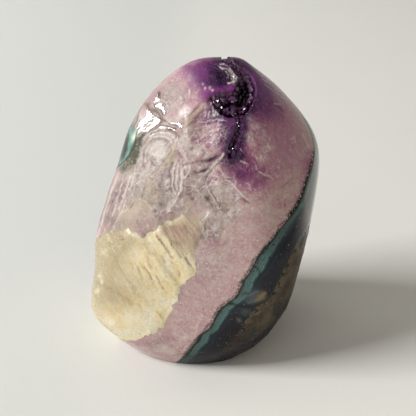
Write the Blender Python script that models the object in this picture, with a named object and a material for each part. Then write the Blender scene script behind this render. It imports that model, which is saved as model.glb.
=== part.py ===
"""A freestanding amethyst freeform with a calcite crystal, on a piece of its geode's wall.

The block is 108 mm tall. It was cut from the wall of a geode, then ground and polished to a
leaning, round-shouldered form on a flat sawn base. The crown has a cleft lined with crystals.
Units are metres. The front faces -Y, +X is to the right, and the base lies on Z = 0.
"""

import math

import bmesh
import bpy
import numpy as np
from mathutils import Vector

MM = 0.001

# Ground form: each face that the grinding wheel left, as (name, turn from the front towards the
# right in degrees, tilt upwards in degrees, distance from the origin in mm).
GROUND_FACES = [
    ("front low", -6, 3, 39),
    ("front middle", -4, 24, 53),
    ("front brow", -2, 50, 83),
    ("front left", -46, 6, 53),
    ("front left upper", -40, 34, 65),
    ("front right", 42, -10, 35),
    ("front right upper", 44, 26, 58),
    ("left", -90, 10, 51.5),
    ("right", 88, -14, 24),
    ("left shoulder", -86, 44, 83),
    ("right shoulder", 84, 40, 79),
    ("crown", 10, 84, 120),
    ("back", 178, 6, 33),
    ("back left", -136, 8, 43),
    ("back right", 134, -6, 36),
    ("back brow", 178, 46, 85),
    ("left foot", -80, -42, 31),
    ("left front foot", -38, -42, 29),
    ("front foot", 4, -42, 25.5),
    ("right front foot", 46, -42, 21.5),
    ("right foot", 90, -42, 11),
    ("back foot", 180, -42, 15),
]
EDGE_SOFTNESS = 3.5 * MM
HEART = (0, 0, 50 * MM)
REACH = 75 * MM

# Low swellings and dents of the polished surface: (place in mm, radius in mm, height in mm).
SWELLINGS = [
    ((-34, -4, 70), 11, -1.1),
    ((-46, -10, 50), 4.5, 1.4),
    ((-45, -20, 17), 8, 1.0),
    ((-9, 2, 106), 7, 0.9),
    ((13, 2, 104), 6, 0.7),
    ((26, -18, 70), 12, 0.5),
    ((0, 28, 66), 12, 1.1),
    ((-14, 26, 56), 8, -0.8),
    ((14, 28, 46), 9, 0.9),
    ((-2, 29, 30), 10, -0.9),
    ((28, 18, 40), 12, -1.1),
    ((30, 10, 66), 9, 0.7),
    ((-30, 18, 30), 12, -0.8),
    ((10, 28, 84), 8, -0.7),
]

# Shell-like chips on the upper left: (place in mm, radius in mm, depth in mm, and how much the
# scoop leans towards +X and +Z).
CHIP_SCARS = [
    ((-22, -12, 79), 8.5, 1.9, (0.06, 0.10)),
    ((-27, -4, 85), 5.5, 0.7, (-0.10, 0.05)),
    ((-20, -3, 90), 5.0, 0.6, (0.00, 0.12)),
    ((-5, -15, 88), 10.0, 2.4, (0.02, 0.12)),
    ((-14, -19, 77), 5.5, 1.6, (0.10, 0.02)),
    ((-15, -23, 70), 6.0, 1.3, (-0.08, -0.05)),
    ((-29, -14, 70), 6.5, 0.9, (-0.04, 0.00)),
    ((-4, -23, 75), 7.5, 1.5, (0.04, -0.10)),
    ((2, -27, 68), 7.0, 1.1, (0.05, 0.02)),
    ((-13, -9, 91), 5.0, 0.9, (-0.06, 0.05)),
    ((-8, -28, 64), 5.5, 0.7, (0.00, -0.06)),
    ((0, -31, 56), 6.0, 0.6, (0.03, 0.00)),
]

# The cleft and its side arm: stations along each as (place in mm, depth in mm). They are
# narrower than they are deep.
CLEFT_ARMS = [
    [
        ((4, 9, 105), 2.4),
        ((3, 5, 107), 3.0),
        ((5.5, 0, 105), 4.4),
        ((7, -5, 101), 7.0),
        ((8.5, -9, 97), 8.0),
        ((6.5, -13, 92), 6.8),
        ((7, -17, 87), 5.6),
        ((5, -20, 82), 3.8),
        ((3.5, -22.5, 77.5), 1.8),
    ],
    [
        ((6, -9, 97), 6.5),
        ((1, -10.5, 95), 5.4),
        ((-4, -11, 94), 3.6),
        ((-8, -11, 93), 1.6),
    ],
]
CLEFT_NARROWING = 1.6
ARM_POINTS = 28

# Vesicles of the basalt on the back and the lower right: (place in mm, radius in mm, depth in mm).
VESICLES = [
    ((14, 30, 64), 3.0, 1.6),
    ((-12, 28, 42), 2.6, 1.3),
    ((22, 24, 28), 3.4, 1.8),
    ((31, 12, 52), 2.6, 1.3),
    ((26, -22, 24), 2.2, 1.2),
]

# The geode's wall, where quartz ends and rind begins, level by level: (height, front right end's
# x and y, back left end's x and y, how far it bows back between them), all in mm.
WALL_LEVELS = [
    (-12, -20, -34, -16, 30, 2),
    (4, -10.5, -35, -20, 28, 2),
    (16, -4, -37, -26, 28, 3),
    (27, 2.5, -37.5, -34, 28, 4),
    (37, 9, -37, -42, 22, 6),
    (46, 14.5, -35, -46, 15, 8),
    (57, 23.5, -27, -46, 7, 8),
    (65, 31.5, -14, -41, 3, 7),
    (71, 37, -1, -34, -6.5, 7),
    (78, 38, 6, -29, -8.5, 9),
    (84, 37, 11, -27, -2, 9),
    (89, 33, 14, -29, 8, 7),
    (98, 26, 17, -20, 15, 4),
    (112, 14, 20, -4, 18, 3),
]
WALL_COLUMNS = 22
WALL_ROWS = 22
WALL_OVERRUN = 1.0
RIND_SIDE = (60 * MM, 95 * MM, 0)

# The calcite crystal: corners of its outline seen from its own side, as (across, up) in mm, and
# how deep it reaches into the quartz.
CALCITE_TURN = -40
CALCITE_OUTLINE = [
    (-35, 41), (-24, 45), (-16, 51), (-8, 54.5), (-1, 53), (4, 58), (9, 62), (14.5, 60),
    (17, 55.5), (15.5, 49), (17, 42.5), (13.5, 37.5), (12, 30), (8.5, 19.5), (4, 15.5),
    (-2, 11), (-8, 9), (-14, 5), (-24, -6), (-38, -6), (-42, 14), (-40, 31),
]
CALCITE_FRONT = 60 * MM
CALCITE_BRIM = 29 * MM
CALCITE_BACK = 20 * MM
CALCITE_TAPER = 0.78
# Cleavage ledges: (distance along the crystal's stepping direction in mm, rise in mm).
LEDGE_DIP = 47
LEDGES = [(14, 0.8), (22, -0.9), (30, 1.3), (34.5, -1.2), (38, 1.1), (41.5, -1.2), (45, 1.0)]
LEDGE_START = -0.5
LEDGE_RAMP = 0.5 * MM
LEDGE_MARGIN = 6 * MM

GAP = 0.3 * MM

# Crust: small pointed crystals on the cleft's walls. Each leans out of the cleft a little, and is
# as many times longer than its radius as the slenderness says.
CRUST_THICKNESS = 1.9 * MM
CRYSTAL_COUNT = 36
CRYSTAL_SIDES = 6
CRYSTAL_RADII = (0.9 * MM, 2.0 * MM)
CRYSTAL_SLENDERNESS = (1.5, 2.1)
CRYSTAL_ROOT = -0.35
CRYSTAL_SHOULDER = 0.3
CRYSTAL_LEAN_OUT = 0.35
CRYSTAL_SCATTER = 0.22
CRYSTAL_SPREAD = 1.35
CRYSTAL_SEED = 11
MAIN_ARM_SHARE = 0.8
SHALLOWEST_BED = 2.2 * MM
FULL_SIZE_BED = 6 * MM
CRYSTAL_COVER = 0.3 * MM

# Longest mesh edges, coarse on the plain back and finer where there is relief.
EDGE_BACK = 8.5 * MM
EDGE_FRONT = 6.8 * MM
EDGE_CHIPS = 3.2 * MM
EDGE_CLEFT = 3.0 * MM
EDGE_VESICLES = 1.6 * MM
EDGE_GROWTH = 0.9
BACK_STARTS = 5 * MM
BALL_SUBDIVISIONS = 4
REFINEMENTS = 4

# Search for the skin along a ray: steps inwards from outside, then halvings.
SKIN_STEP = 0.6 * MM
SKIN_STEPS = 150
SKIN_HALVINGS = 14
SHARP_ANGLE = 28
CUT_MERGE = 0.001 * MM
FLATNESS = 0.01 * MM


def clear_scene():
    for obj in list(bpy.data.objects):
        bpy.data.objects.remove(obj, do_unlink=True)


def facing(turn, tilt=0.0):
    """Unit vector that faces turn degrees from the front towards the right, tilted up."""
    turn, tilt = math.radians(turn), math.radians(tilt)
    return np.array([math.sin(turn) * math.cos(tilt), -math.cos(turn) * math.cos(tilt), math.sin(tilt)])


def ground_form(points):
    """How far each point is outside the ground faces, with their edges rounded off."""
    normals = np.array([facing(turn, tilt) for _, turn, tilt, _ in GROUND_FACES])
    offsets = np.array([offset * MM for *_, offset in GROUND_FACES])
    steps = (points @ normals.T - offsets) / EDGE_SOFTNESS
    highest = steps.max(axis=-1)
    return EDGE_SOFTNESS * (highest + np.log(np.exp(steps - highest[..., None]).sum(axis=-1)))


def swellings(points):
    """Height added by the soft bumps and dents."""
    height = np.zeros(points.shape[:-1])
    for place, radius, rise in SWELLINGS:
        away = np.linalg.norm(points - np.array(place) * MM, axis=-1) / (radius * MM)
        height += rise * MM * np.exp(-away ** 2)
    return height


def smooth_form(points):
    return ground_form(points) - swellings(points)


def outward(points, field, step=0.2 * MM):
    """Unit gradient of a field, which points out of the stone."""
    slopes = [field(points + step * axis) - field(points - step * axis) for axis in np.eye(3)]
    gradient = np.stack(slopes, axis=-1)
    return gradient / np.linalg.norm(gradient, axis=-1, keepdims=True)


def drop_to_surface(points, field, rounds=12):
    """Moves points straight onto the surface where the field is zero."""
    for _ in range(rounds):
        points = points - outward(points, field) * field(points)[..., None]
    return points


def scoop(place, radius, depth, lean=(0, 0)):
    """Centre and radius of the ball that scoops one hollow of that size out of the skin."""
    foot = drop_to_surface(np.array([place]) * MM, smooth_form)[0]
    ball = (radius ** 2 + depth ** 2) / (2 * depth) * MM
    direction = outward(foot[None], smooth_form)[0] + np.array([lean[0], 0, lean[1]])
    return foot + direction / np.linalg.norm(direction) * (ball - depth * MM), ball


SCOOPS = [scoop(*scar) for scar in CHIP_SCARS] + [scoop(*vesicle) for vesicle in VESICLES]


def arm_path(arm):
    """Points and depths along one arm of the cleft, on the smooth form."""
    stations = np.array([[*place, depth] for place, depth in arm]) * MM
    along = np.linspace(0, len(stations) - 1, ARM_POINTS)
    route = np.stack([np.interp(along, range(len(stations)), column) for column in stations.T], axis=-1)
    return drop_to_surface(route[:, :3], smooth_form), route[:, 3]


ARM_PATHS = [arm_path(arm) for arm in CLEFT_ARMS]
CLEFT_LINE = np.concatenate([line for line, _ in ARM_PATHS])
CLEFT_DEPTHS = np.concatenate([depths for _, depths in ARM_PATHS])


def inside_cleft(points):
    """Positive inside the cleft's hollow, which is narrower across X than it is deep."""
    squash = np.array([CLEFT_NARROWING, 1, 1])
    best = np.full(points.shape[:-1], -1.0)
    for centre, depth in zip(CLEFT_LINE, CLEFT_DEPTHS):
        best = np.maximum(best, depth - np.linalg.norm((points - centre) * squash, axis=-1))
    return best


def block_form(points, cleft_fill=0.0):
    """The whole polished block: ground form, chips, vesicles and the cleft."""
    depth = smooth_form(points)
    for centre, radius in SCOOPS:
        depth = np.maximum(depth, radius - np.linalg.norm(points - centre, axis=-1))
    return np.maximum(depth, inside_cleft(points) - cleft_fill)


def lined_form(points):
    """The block with its cleft partly filled by the crust."""
    return block_form(points, CRUST_THICKNESS)


def swollen_form(points):
    """The block, larger all round by the gap under the crust."""
    return block_form(points) - GAP * CLEFT_NARROWING


def reach(directions, field):
    """Distance from the stone's heart to its skin along each direction."""
    heart = np.array(HEART)
    outer = np.full(len(directions), REACH)
    for _ in range(SKIN_STEPS):
        outside = field(heart + directions * outer[:, None]) > 0
        outer = np.where(outside, outer - SKIN_STEP, outer)
    low, high = outer, outer + SKIN_STEP
    for _ in range(SKIN_HALVINGS):
        middle = (low + high) / 2
        outside = field(heart + directions * middle[:, None]) > 0
        low, high = np.where(outside, low, middle), np.where(outside, middle, high)
    return low


def clearance(middle, hollows):
    """Distance from a place to the nearest rim of some scooped hollows, or 0 inside one."""
    nearest = min(np.linalg.norm(middle - np.array(hollow[0]) * MM) - hollow[1] * MM for hollow in hollows)
    return max(nearest, 0)


def edge_target(middle):
    """Longest mesh edge wanted at a place on the skin, which grows away from the relief."""
    from_cleft = max(np.min(np.linalg.norm(CLEFT_LINE - middle, axis=-1) - CLEFT_DEPTHS), 0)
    return min(
        EDGE_FRONT if middle[1] < BACK_STARTS else EDGE_BACK,
        EDGE_VESICLES + EDGE_GROWTH * clearance(middle, VESICLES),
        EDGE_CHIPS + EDGE_GROWTH * clearance(middle, CHIP_SCARS),
        EDGE_CLEFT + EDGE_GROWTH * from_cleft,
    )


def on_skin(rays, field):
    """Places along the rays from the stone's heart, on the field's skin."""
    return np.array(HEART) + rays * reach(rays, field)[:, None]


def split_triangle(corners, middles):
    """The triangles that replace one whose sides have the given middle points, or None."""
    a, b, c = corners
    ab, bc, ca = middles
    if ab is not None and bc is not None and ca is not None:
        return [(a, ab, ca), (b, bc, ab), (c, ca, bc), (ab, bc, ca)]
    if ab is not None and bc is not None:
        return [(b, bc, ab), (a, ab, bc), (a, bc, c)]
    if ab is not None and ca is None:
        return [(a, ab, c), (ab, b, c)]
    if ab is None and bc is None and ca is None:
        return [(a, b, c)]
    return split_triangle((b, c, a), (bc, ca, ab))


def refine(rays, triangles, skin):
    """Halves every edge that is longer than its place allows, and gives the new rays and triangles."""
    rays = list(rays)
    middle_of = {}
    for triangle in triangles:
        for start, end in zip(triangle, (*triangle[1:], triangle[0])):
            side = (min(start, end), max(start, end))
            if side in middle_of:
                continue
            length = np.linalg.norm(skin[start] - skin[end])
            middle_of[side] = None
            if length > edge_target((skin[start] + skin[end]) / 2):
                ray = rays[start] + rays[end]
                middle_of[side] = len(rays)
                rays.append(ray / np.linalg.norm(ray))
    split = []
    for triangle in triangles:
        sides = [tuple(sorted(side)) for side in zip(triangle, (*triangle[1:], triangle[0]))]
        split += split_triangle(triangle, [middle_of[side] for side in sides])
    return np.array(rays), split


def block_net():
    """Rays and triangles that cover the block all round, fine only where there is relief."""
    ball = bmesh.new()
    bmesh.ops.create_icosphere(ball, subdivisions=BALL_SUBDIVISIONS, radius=1)
    rays = np.array([vertex.co.normalized() for vertex in ball.verts])
    triangles = [tuple(vertex.index for vertex in face.verts) for face in ball.faces]
    ball.free()
    for _ in range(REFINEMENTS):
        rays, triangles = refine(rays, triangles, on_skin(rays, block_form))
    return rays, triangles


def net_mesh(net, field):
    """Closed mesh of a field's skin, not yet sawn flat."""
    rays, triangles = net
    mesh = bmesh.new()
    vertices = [mesh.verts.new(place) for place in on_skin(rays, field)]
    for triangle in triangles:
        mesh.faces.new([vertices[corner] for corner in triangle])
    return mesh


def cut_across(mesh, parts, place, normal, keep_behind=True):
    """Splits the mesh's parts along a plane, and gives the edges that lie in it."""
    cut = bmesh.ops.bisect_plane(
        mesh, geom=parts, dist=CUT_MERGE, plane_co=place, plane_no=normal, clear_inner=not keep_behind
    )
    return [item for item in cut["geom_cut"] if isinstance(item, bmesh.types.BMEdge)]


def saw_base(mesh):
    """Cuts the block flat at Z = 0 and closes it."""
    everything = list(mesh.verts) + list(mesh.edges) + list(mesh.faces)
    rim = cut_across(mesh, everything, (0, 0, 0), (0, 0, 1), keep_behind=False)
    bmesh.ops.contextual_create(mesh, geom=rim)
    for vertex in mesh.verts:
        if abs(vertex.co.z) < FLATNESS:
            vertex.co.z = 0


def add_object(name, mesh, cutter=False):
    """Links a bmesh to the scene as an object, outside faces outwards."""
    bmesh.ops.recalc_face_normals(mesh, faces=mesh.faces)
    data = bpy.data.meshes.new(name)
    mesh.to_mesh(data)
    mesh.free()
    data.shade_smooth()
    data.set_sharp_from_angle(angle=math.radians(SHARP_ANGLE))
    obj = bpy.data.objects.new(name, data)
    bpy.context.scene.collection.objects.link(obj)
    if cutter:
        obj.hide_render = True
        obj.display_type = "WIRE"
    return obj


def boolean(obj, operation, other):
    """Adds an exact Boolean with one object or with a collection of them."""
    step = obj.modifiers.new(f"{operation.lower()} {other.name}", "BOOLEAN")
    step.operation = operation
    step.solver = "EXACT"
    if isinstance(other, bpy.types.Collection):
        step.operand_type = "COLLECTION"
        step.collection = other
    else:
        step.object = other


def ease_between(heights, values, height):
    """Smooth curve through the values at the given heights."""
    slopes = np.gradient(values, heights)
    high = int(np.clip(np.searchsorted(heights, height), 1, len(heights) - 1))
    low = high - 1
    span = heights[high] - heights[low]
    part = (height - heights[low]) / span
    rise = part * part * (3 - 2 * part)
    lead = slopes[low] * span * part * (1 - part) ** 2
    trail = slopes[high] * span * part * part * (part - 1)
    return values[low] + (values[high] - values[low]) * rise + lead + trail


def wall_row(height, columns, shift):
    """One level line of the geode's wall, moved by shift towards the rind."""
    levels = np.array(WALL_LEVELS, dtype=float).T * MM
    front_x, front_y, back_x, back_y, bow = [ease_between(levels[0], column, height) for column in levels[1:]]
    start, end = np.array([front_x, front_y]), np.array([back_x, back_y])
    run = end - start
    towards_rind = np.array([run[1], -run[0]]) / np.hypot(*run)
    row = []
    for part in np.linspace(-WALL_OVERRUN, 1 + WALL_OVERRUN, columns):
        level_point = start + run * part + towards_rind * (bow * math.cos(math.pi * (part - 0.5)) + shift)
        row.append((*level_point, height))
    return row


def wall_cutter(name, shift):
    """Closed body of everything behind the geode's wall."""
    mesh = bmesh.new()
    heights = np.linspace(WALL_LEVELS[0][0], WALL_LEVELS[-1][0], WALL_ROWS) * MM
    grid = [[mesh.verts.new(place) for place in wall_row(height, WALL_COLUMNS, shift)] for height in heights]
    for low, high in zip(grid, grid[1:]):
        for column in range(WALL_COLUMNS - 1):
            mesh.faces.new((low[column], low[column + 1], high[column + 1]))
            mesh.faces.new((low[column], high[column + 1], high[column]))
    pushed = bmesh.ops.extrude_face_region(mesh, geom=list(mesh.faces))
    moved = [item for item in pushed["geom"] if isinstance(item, bmesh.types.BMVert)]
    bmesh.ops.translate(mesh, verts=moved, vec=RIND_SIDE)
    return add_object(name, mesh, cutter=True)


def calcite_axes():
    """The calcite's own directions: across, up and outwards."""
    outwards = facing(CALCITE_TURN)
    up = np.array([0.0, 0.0, 1.0])
    return np.cross(up, outwards), up, outwards


def swollen_outline(outline, swell):
    """The outline with every side moved outwards by swell."""
    count = len(outline)
    sides = np.roll(outline, -1, axis=0) - outline
    outwards = np.stack([-sides[:, 1], sides[:, 0]], axis=-1)
    outwards /= np.linalg.norm(outwards, axis=-1, keepdims=True)
    moved = []
    for corner in range(count):
        before, after = outwards[corner - 1], outwards[corner]
        moved.append(outline[corner] + (before + after) * swell / (1 + before @ after))
    return np.array(moved)


def calcite_prism(name, swell):
    """The calcite's sides and inner end, as a tapered prism that reaches out past the skin."""
    across, up, outwards = calcite_axes()
    outline = swollen_outline(np.array(CALCITE_OUTLINE, dtype=float) * MM, swell)
    middle = outline.mean(axis=0)
    mesh = bmesh.new()
    rings = []
    for depth, size in ((CALCITE_FRONT, 1.0), (CALCITE_BRIM, 1.0), (CALCITE_BACK - swell, CALCITE_TAPER)):
        corners = middle + (outline - middle) * size
        rings.append([mesh.verts.new(across * x + up * y + outwards * depth) for x, y in corners])
    mesh.faces.new(rings[0])
    mesh.faces.new(rings[-1])
    for outer, inner in zip(rings, rings[1:]):
        for corner in range(len(outline)):
            before = corner - 1
            mesh.faces.new((outer[before], outer[corner], inner[corner], inner[before]))
    bmesh.ops.triangulate(mesh, faces=mesh.faces)
    return add_object(name, mesh, cutter=True)


def cut_ledges(mesh):
    """Steps the skin along the calcite's cleavage, riser by riser."""
    across, up, outwards = calcite_axes()
    dip = math.radians(LEDGE_DIP)
    stepping = across * math.sin(dip) + up * math.cos(dip)
    outline = np.array(CALCITE_OUTLINE) * MM
    low, high = outline.min(axis=0) - LEDGE_MARGIN, outline.max(axis=0) + LEDGE_MARGIN

    def in_reach(place):
        place = np.array(place)
        seen = np.array([place @ across, place @ up])
        return place @ outwards > CALCITE_BACK and (seen > low).all() and (seen < high).all()

    for distance, _ in LEDGES:
        for line in (distance * MM, distance * MM + LEDGE_RAMP):
            faces = [face for face in mesh.faces if in_reach(face.calc_center_median())]
            parts = set(faces)
            for face in faces:
                parts.update(face.verts)
                parts.update(face.edges)
            cut_across(mesh, list(parts), stepping * line, stepping)
    for vertex in mesh.verts:
        if in_reach(vertex.co):
            along = np.array(vertex.co) @ stepping
            climb = [rise * np.clip((along - line * MM) / LEDGE_RAMP, 0, 1) for line, rise in LEDGES]
            vertex.co += Vector(outwards * (sum(climb) + LEDGE_START) * MM)
    bmesh.ops.triangulate(mesh, faces=mesh.faces)


def crystal_point(foot, axis, radius, length, spin):
    """Mesh of one six-sided amethyst point with a short waist, its lower end sunk in the crust."""
    mesh = bmesh.new()
    side = np.array(Vector(axis).orthogonal().normalized())
    other = np.cross(axis, side)
    rings = []
    for height in (CRYSTAL_ROOT * length, CRYSTAL_SHOULDER * length):
        ring = []
        for corner in range(CRYSTAL_SIDES):
            turn = spin + corner * math.tau / CRYSTAL_SIDES
            spoke = side * math.cos(turn) + other * math.sin(turn)
            ring.append(mesh.verts.new(foot + spoke * radius + axis * height))
        rings.append(ring)
    tip = mesh.verts.new(foot + axis * length)
    mesh.faces.new(rings[0])
    for corner in range(CRYSTAL_SIDES):
        before = corner - 1
        mesh.faces.new((rings[0][before], rings[0][corner], rings[1][corner], rings[1][before]))
        mesh.faces.new((rings[1][before], rings[1][corner], tip))
    return mesh


def crust_crystals():
    """The crystal points on the cleft's walls, each a closed cutter object in one collection."""
    points = bpy.data.collections.new("crystal points")
    bpy.context.scene.collection.children.link(points)
    random = np.random.default_rng(CRYSTAL_SEED)
    made = 0
    while made < CRYSTAL_COUNT:
        line, depths = ARM_PATHS[0 if random.random() < MAIN_ARM_SHARE else 1]
        station = random.integers(1, ARM_POINTS - 1)
        centre, depth = line[station], depths[station]
        along = line[station + 1] - line[station - 1]
        along /= np.linalg.norm(along)
        out = outward(centre[None], smooth_form)[0]
        side = np.cross(along, out)
        angle = random.uniform(-CRYSTAL_SPREAD, CRYSTAL_SPREAD)
        spoke = side * math.sin(angle) / CLEFT_NARROWING - out * math.cos(angle)
        foot = centre + spoke * (depth - CRUST_THICKNESS)
        axis = out * CRYSTAL_LEAN_OUT - spoke + random.normal(0, CRYSTAL_SCATTER, 3)
        axis /= np.linalg.norm(axis)
        radius = random.uniform(*CRYSTAL_RADII) * min(1.0, depth / FULL_SIZE_BED)
        length = radius * random.uniform(*CRYSTAL_SLENDERNESS)
        spin = random.uniform(0, math.pi)
        cover = -smooth_form((foot + axis * length)[None])[0]
        if depth < SHALLOWEST_BED or cover < CRYSTAL_COVER:
            continue
        mesh = crystal_point(foot, axis, radius, length, spin)
        crystal = add_object(f"crystal point {made}", mesh, cutter=True)
        bpy.context.scene.collection.objects.unlink(crystal)
        points.objects.link(crystal)
        made += 1
    return points


def finish(obj, colour, roughness, transmission=0.0):
    """Gives an object its own Principled material."""
    material = bpy.data.materials.new(obj.name)
    material.use_nodes = True
    shader = material.node_tree.nodes["Principled BSDF"]
    shader.inputs["Base Color"].default_value = (*colour, 1)
    shader.inputs["Roughness"].default_value = roughness
    shader.inputs["Metallic"].default_value = 0
    shader.inputs["Transmission Weight"].default_value = transmission
    shader.inputs["IOR"].default_value = 1.54
    obj.data.materials.append(material)


def net_object(name, net, field=block_form, sawn=True, cutter=False):
    """An object of a field's skin, on the block's net."""
    mesh = net_mesh(net, field)
    if sawn:
        saw_base(mesh)
    return add_object(name, mesh, cutter)


def build_amethyst(net):
    amethyst = net_object("amethyst", net)
    boolean(amethyst, "DIFFERENCE", wall_cutter("wall for amethyst", -GAP))
    boolean(amethyst, "DIFFERENCE", calcite_prism("socket of calcite", GAP))
    finish(amethyst, (0.33, 0.18, 0.31), 0.08, 0.5)


def build_geode_rind(net):
    rind = net_object("geode_rind", net)
    boolean(rind, "INTERSECT", wall_cutter("wall for rind", 0))
    finish(rind, (0.05, 0.07, 0.07), 0.25)


def build_calcite(net):
    mesh = net_mesh(net, block_form)
    cut_ledges(mesh)
    saw_base(mesh)
    calcite = add_object("calcite", mesh)
    boolean(calcite, "INTERSECT", calcite_prism("sides of calcite", 0))
    finish(calcite, (0.62, 0.5, 0.27), 0.3, 0.2)


def bodies_of(mesh):
    """The separate closed bodies of a bmesh, each as a set of vertices."""
    left = set(mesh.verts)
    while left:
        body, edge = set(), {left.pop()}
        while edge:
            body |= edge
            edge = {link.other_vert(vertex) for vertex in edge for link in vertex.link_edges} - body
        left -= body
        yield body


def keep_largest_body(obj):
    """Carries out an object's modifiers and drops the loose slivers that its cuts leave."""
    shape = obj.evaluated_get(bpy.context.evaluated_depsgraph_get())
    mesh = bmesh.new()
    mesh.from_mesh(shape.to_mesh())
    shape.to_mesh_clear()
    kept = max(bodies_of(mesh), key=len)
    bmesh.ops.delete(mesh, geom=[vertex for vertex in mesh.verts if vertex not in kept], context="VERTS")
    obj.modifiers.clear()
    mesh.to_mesh(obj.data)
    mesh.free()


def build_crystal_crust(net):
    crust = net_object("crystal_crust", net, lined_form, sawn=False)
    boolean(crust, "UNION", crust_crystals())
    rock = net_object("rock under crust", net, swollen_form, sawn=False, cutter=True)
    boolean(crust, "DIFFERENCE", rock)
    keep_largest_body(crust)
    finish(crust, (0.05, 0.015, 0.07), 0.15, 0.2)


def main():
    clear_scene()
    net = block_net()
    build_amethyst(net)
    build_geode_rind(net)
    build_calcite(net)
    build_crystal_crust(net)


main()
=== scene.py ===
"""Looks of the amethyst freeform: fine skins, mineral colours, cleft crystals, floor, light and camera.

Units are metres. The front faces -Y, +X is to the right, and the stone stands on Z = 0.
"""

import math

import bmesh
import bpy
import numpy as np
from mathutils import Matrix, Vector, noise


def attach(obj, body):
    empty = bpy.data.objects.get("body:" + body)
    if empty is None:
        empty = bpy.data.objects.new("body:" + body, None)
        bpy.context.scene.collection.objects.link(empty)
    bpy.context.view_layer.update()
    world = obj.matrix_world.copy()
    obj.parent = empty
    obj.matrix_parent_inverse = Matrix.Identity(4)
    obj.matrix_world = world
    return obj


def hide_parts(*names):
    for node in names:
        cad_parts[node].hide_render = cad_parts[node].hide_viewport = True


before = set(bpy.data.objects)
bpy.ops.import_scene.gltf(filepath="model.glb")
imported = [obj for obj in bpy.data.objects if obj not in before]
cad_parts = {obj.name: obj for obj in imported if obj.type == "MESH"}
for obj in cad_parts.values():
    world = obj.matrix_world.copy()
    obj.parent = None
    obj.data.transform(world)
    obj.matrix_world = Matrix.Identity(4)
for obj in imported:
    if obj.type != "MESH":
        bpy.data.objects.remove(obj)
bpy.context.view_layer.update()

MM = 0.001

# Ground form: each face that the grinding wheel left, as (name, turn from the front towards the
# right in degrees, tilt upwards in degrees, distance from the origin in mm).
GROUND_FACES = [
    ("front low", -6, 3, 39),
    ("front middle", -4, 24, 53),
    ("front brow", -2, 50, 83),
    ("front left", -46, 6, 53),
    ("front left upper", -40, 34, 65),
    ("front right", 42, -10, 35),
    ("front right upper", 44, 26, 58),
    ("left", -90, 10, 51.5),
    ("right", 88, -14, 24),
    ("left shoulder", -86, 44, 83),
    ("right shoulder", 84, 40, 79),
    ("crown", 10, 84, 120),
    ("back", 178, 6, 33),
    ("back left", -136, 8, 43),
    ("back right", 134, -6, 36),
    ("back brow", 178, 46, 85),
    ("left foot", -80, -42, 31),
    ("left front foot", -38, -42, 29),
    ("front foot", 4, -42, 25.5),
    ("right front foot", 46, -42, 21.5),
    ("right foot", 90, -42, 11),
    ("back foot", 180, -42, 15),
]
EDGE_SOFTNESS = 3.5 * MM
HEART = np.array([0, 0, 50 * MM])

# Low swellings and dents of the polished surface: (x, y, z, radius, height), in mm.
SWELLINGS = [
    (-36, -4, 70, 12, -1.9), (-46.5, -12, 43, 7, 1.2), (-46, -8, 51, 4, 0.5), (-45, -20, 17, 8, 1.0),
    (-9, 2, 106, 7, 0.9), (8.5, 4, 107, 4.5, 0.9), (14, 2, 104, 6, 0.5), (26, -18, 70, 12, 0.5),
    (25, -25, 21, 11, 1.3), (16, -31, 9, 9, 1.2), (0, 28, 66, 12, 1.1), (-14, 26, 56, 8, -0.8),
    (14, 28, 46, 9, 0.9), (-2, 29, 30, 10, -0.9), (28, 18, 40, 12, -1.1), (30, 10, 66, 9, 0.7),
    (-30, 18, 30, 12, -0.8), (10, 28, 84, 8, -0.7),
]

# Shell-like chips on the upper left: (x, y, z, radius and depth in mm, and how much the scoop
# leans towards +X and +Z).
CHIP_SCARS = [
    (-22, -12, 79, 8.5, 1.3, 0.06, 0.10), (-5, -15, 88, 9.0, 1.3, 0.02, 0.12),
    (-14, -19, 77, 5.5, 0.7, 0.10, 0.02), (-15, -23, 70, 6.0, 0.5, -0.08, -0.05),
    (-4, -23, 75, 7.5, 0.7, 0.04, -0.10), (2, -27, 68, 7.0, 0.5, 0.05, 0.02),
    (0, -31, 56, 6.0, 0.3, 0.03, 0.00),
]

# Vesicles of the basalt: (x, y, z, radius, depth), in mm.
VESICLES = [
    (14, 30, 64, 3.0, 1.6), (-12, 28, 42, 2.6, 1.3), (22, 24, 28, 3.4, 1.8), (31, 12, 52, 2.6, 1.3),
    (26, -22, 24, 2.2, 1.2),
]

# The cleft and its side arm: stations along each as (x, y, z, depth), in mm.
CLEFT_ARMS = [
    [
        (3.4, 8, 105, 2.4), (4.0, 3.8, 107.7, 2.6), (4.7, 2.7, 107.2, 2.2), (6.2, 1.2, 106.2, 1.8),
        (8.4, -0.5, 104.8, 2.2), (10.1, -2, 103.4, 3.3), (10.9, -3.7, 101.8, 4.9), (10.9, -5.2, 100.1, 6.0),
        (10, -7.4, 98.2, 6.2), (8.7, -9.6, 96.1, 5.2), (8.2, -11.4, 94.1, 3.6), (8.5, -13.1, 91.8, 2.3),
        (8.4, -14.8, 89.5, 1.9), (7.8, -16.5, 87.2, 2.2), (6.9, -18.1, 84.9, 2.6), (5.8, -19.6, 82.6, 2.7),
        (5.1, -20.7, 80.8, 1.2),
    ],
    [
        (8.3, -10, 96, 5.0), (5.2, -10.3, 96, 5.0), (2.9, -10.1, 96.2, 4.2), (0.9, -9.5, 96.8, 2.8),
        (-0.9, -8.8, 97.5, 1.5),
    ],
]
CLEFT_NARROWING = 1.6
CLEFT_SQUASH = np.array([CLEFT_NARROWING, 1, 1])
# How much deeper the purple gets round the cleft's rim, partly the quartz's own colour and partly painted
# shade at the hollow, and how far that reaches.
CLEFT_GLOOM = 0.75
CLEFT_GLOOM_REACH = 2.2 * MM
ARM_POINTS = 28

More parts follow.
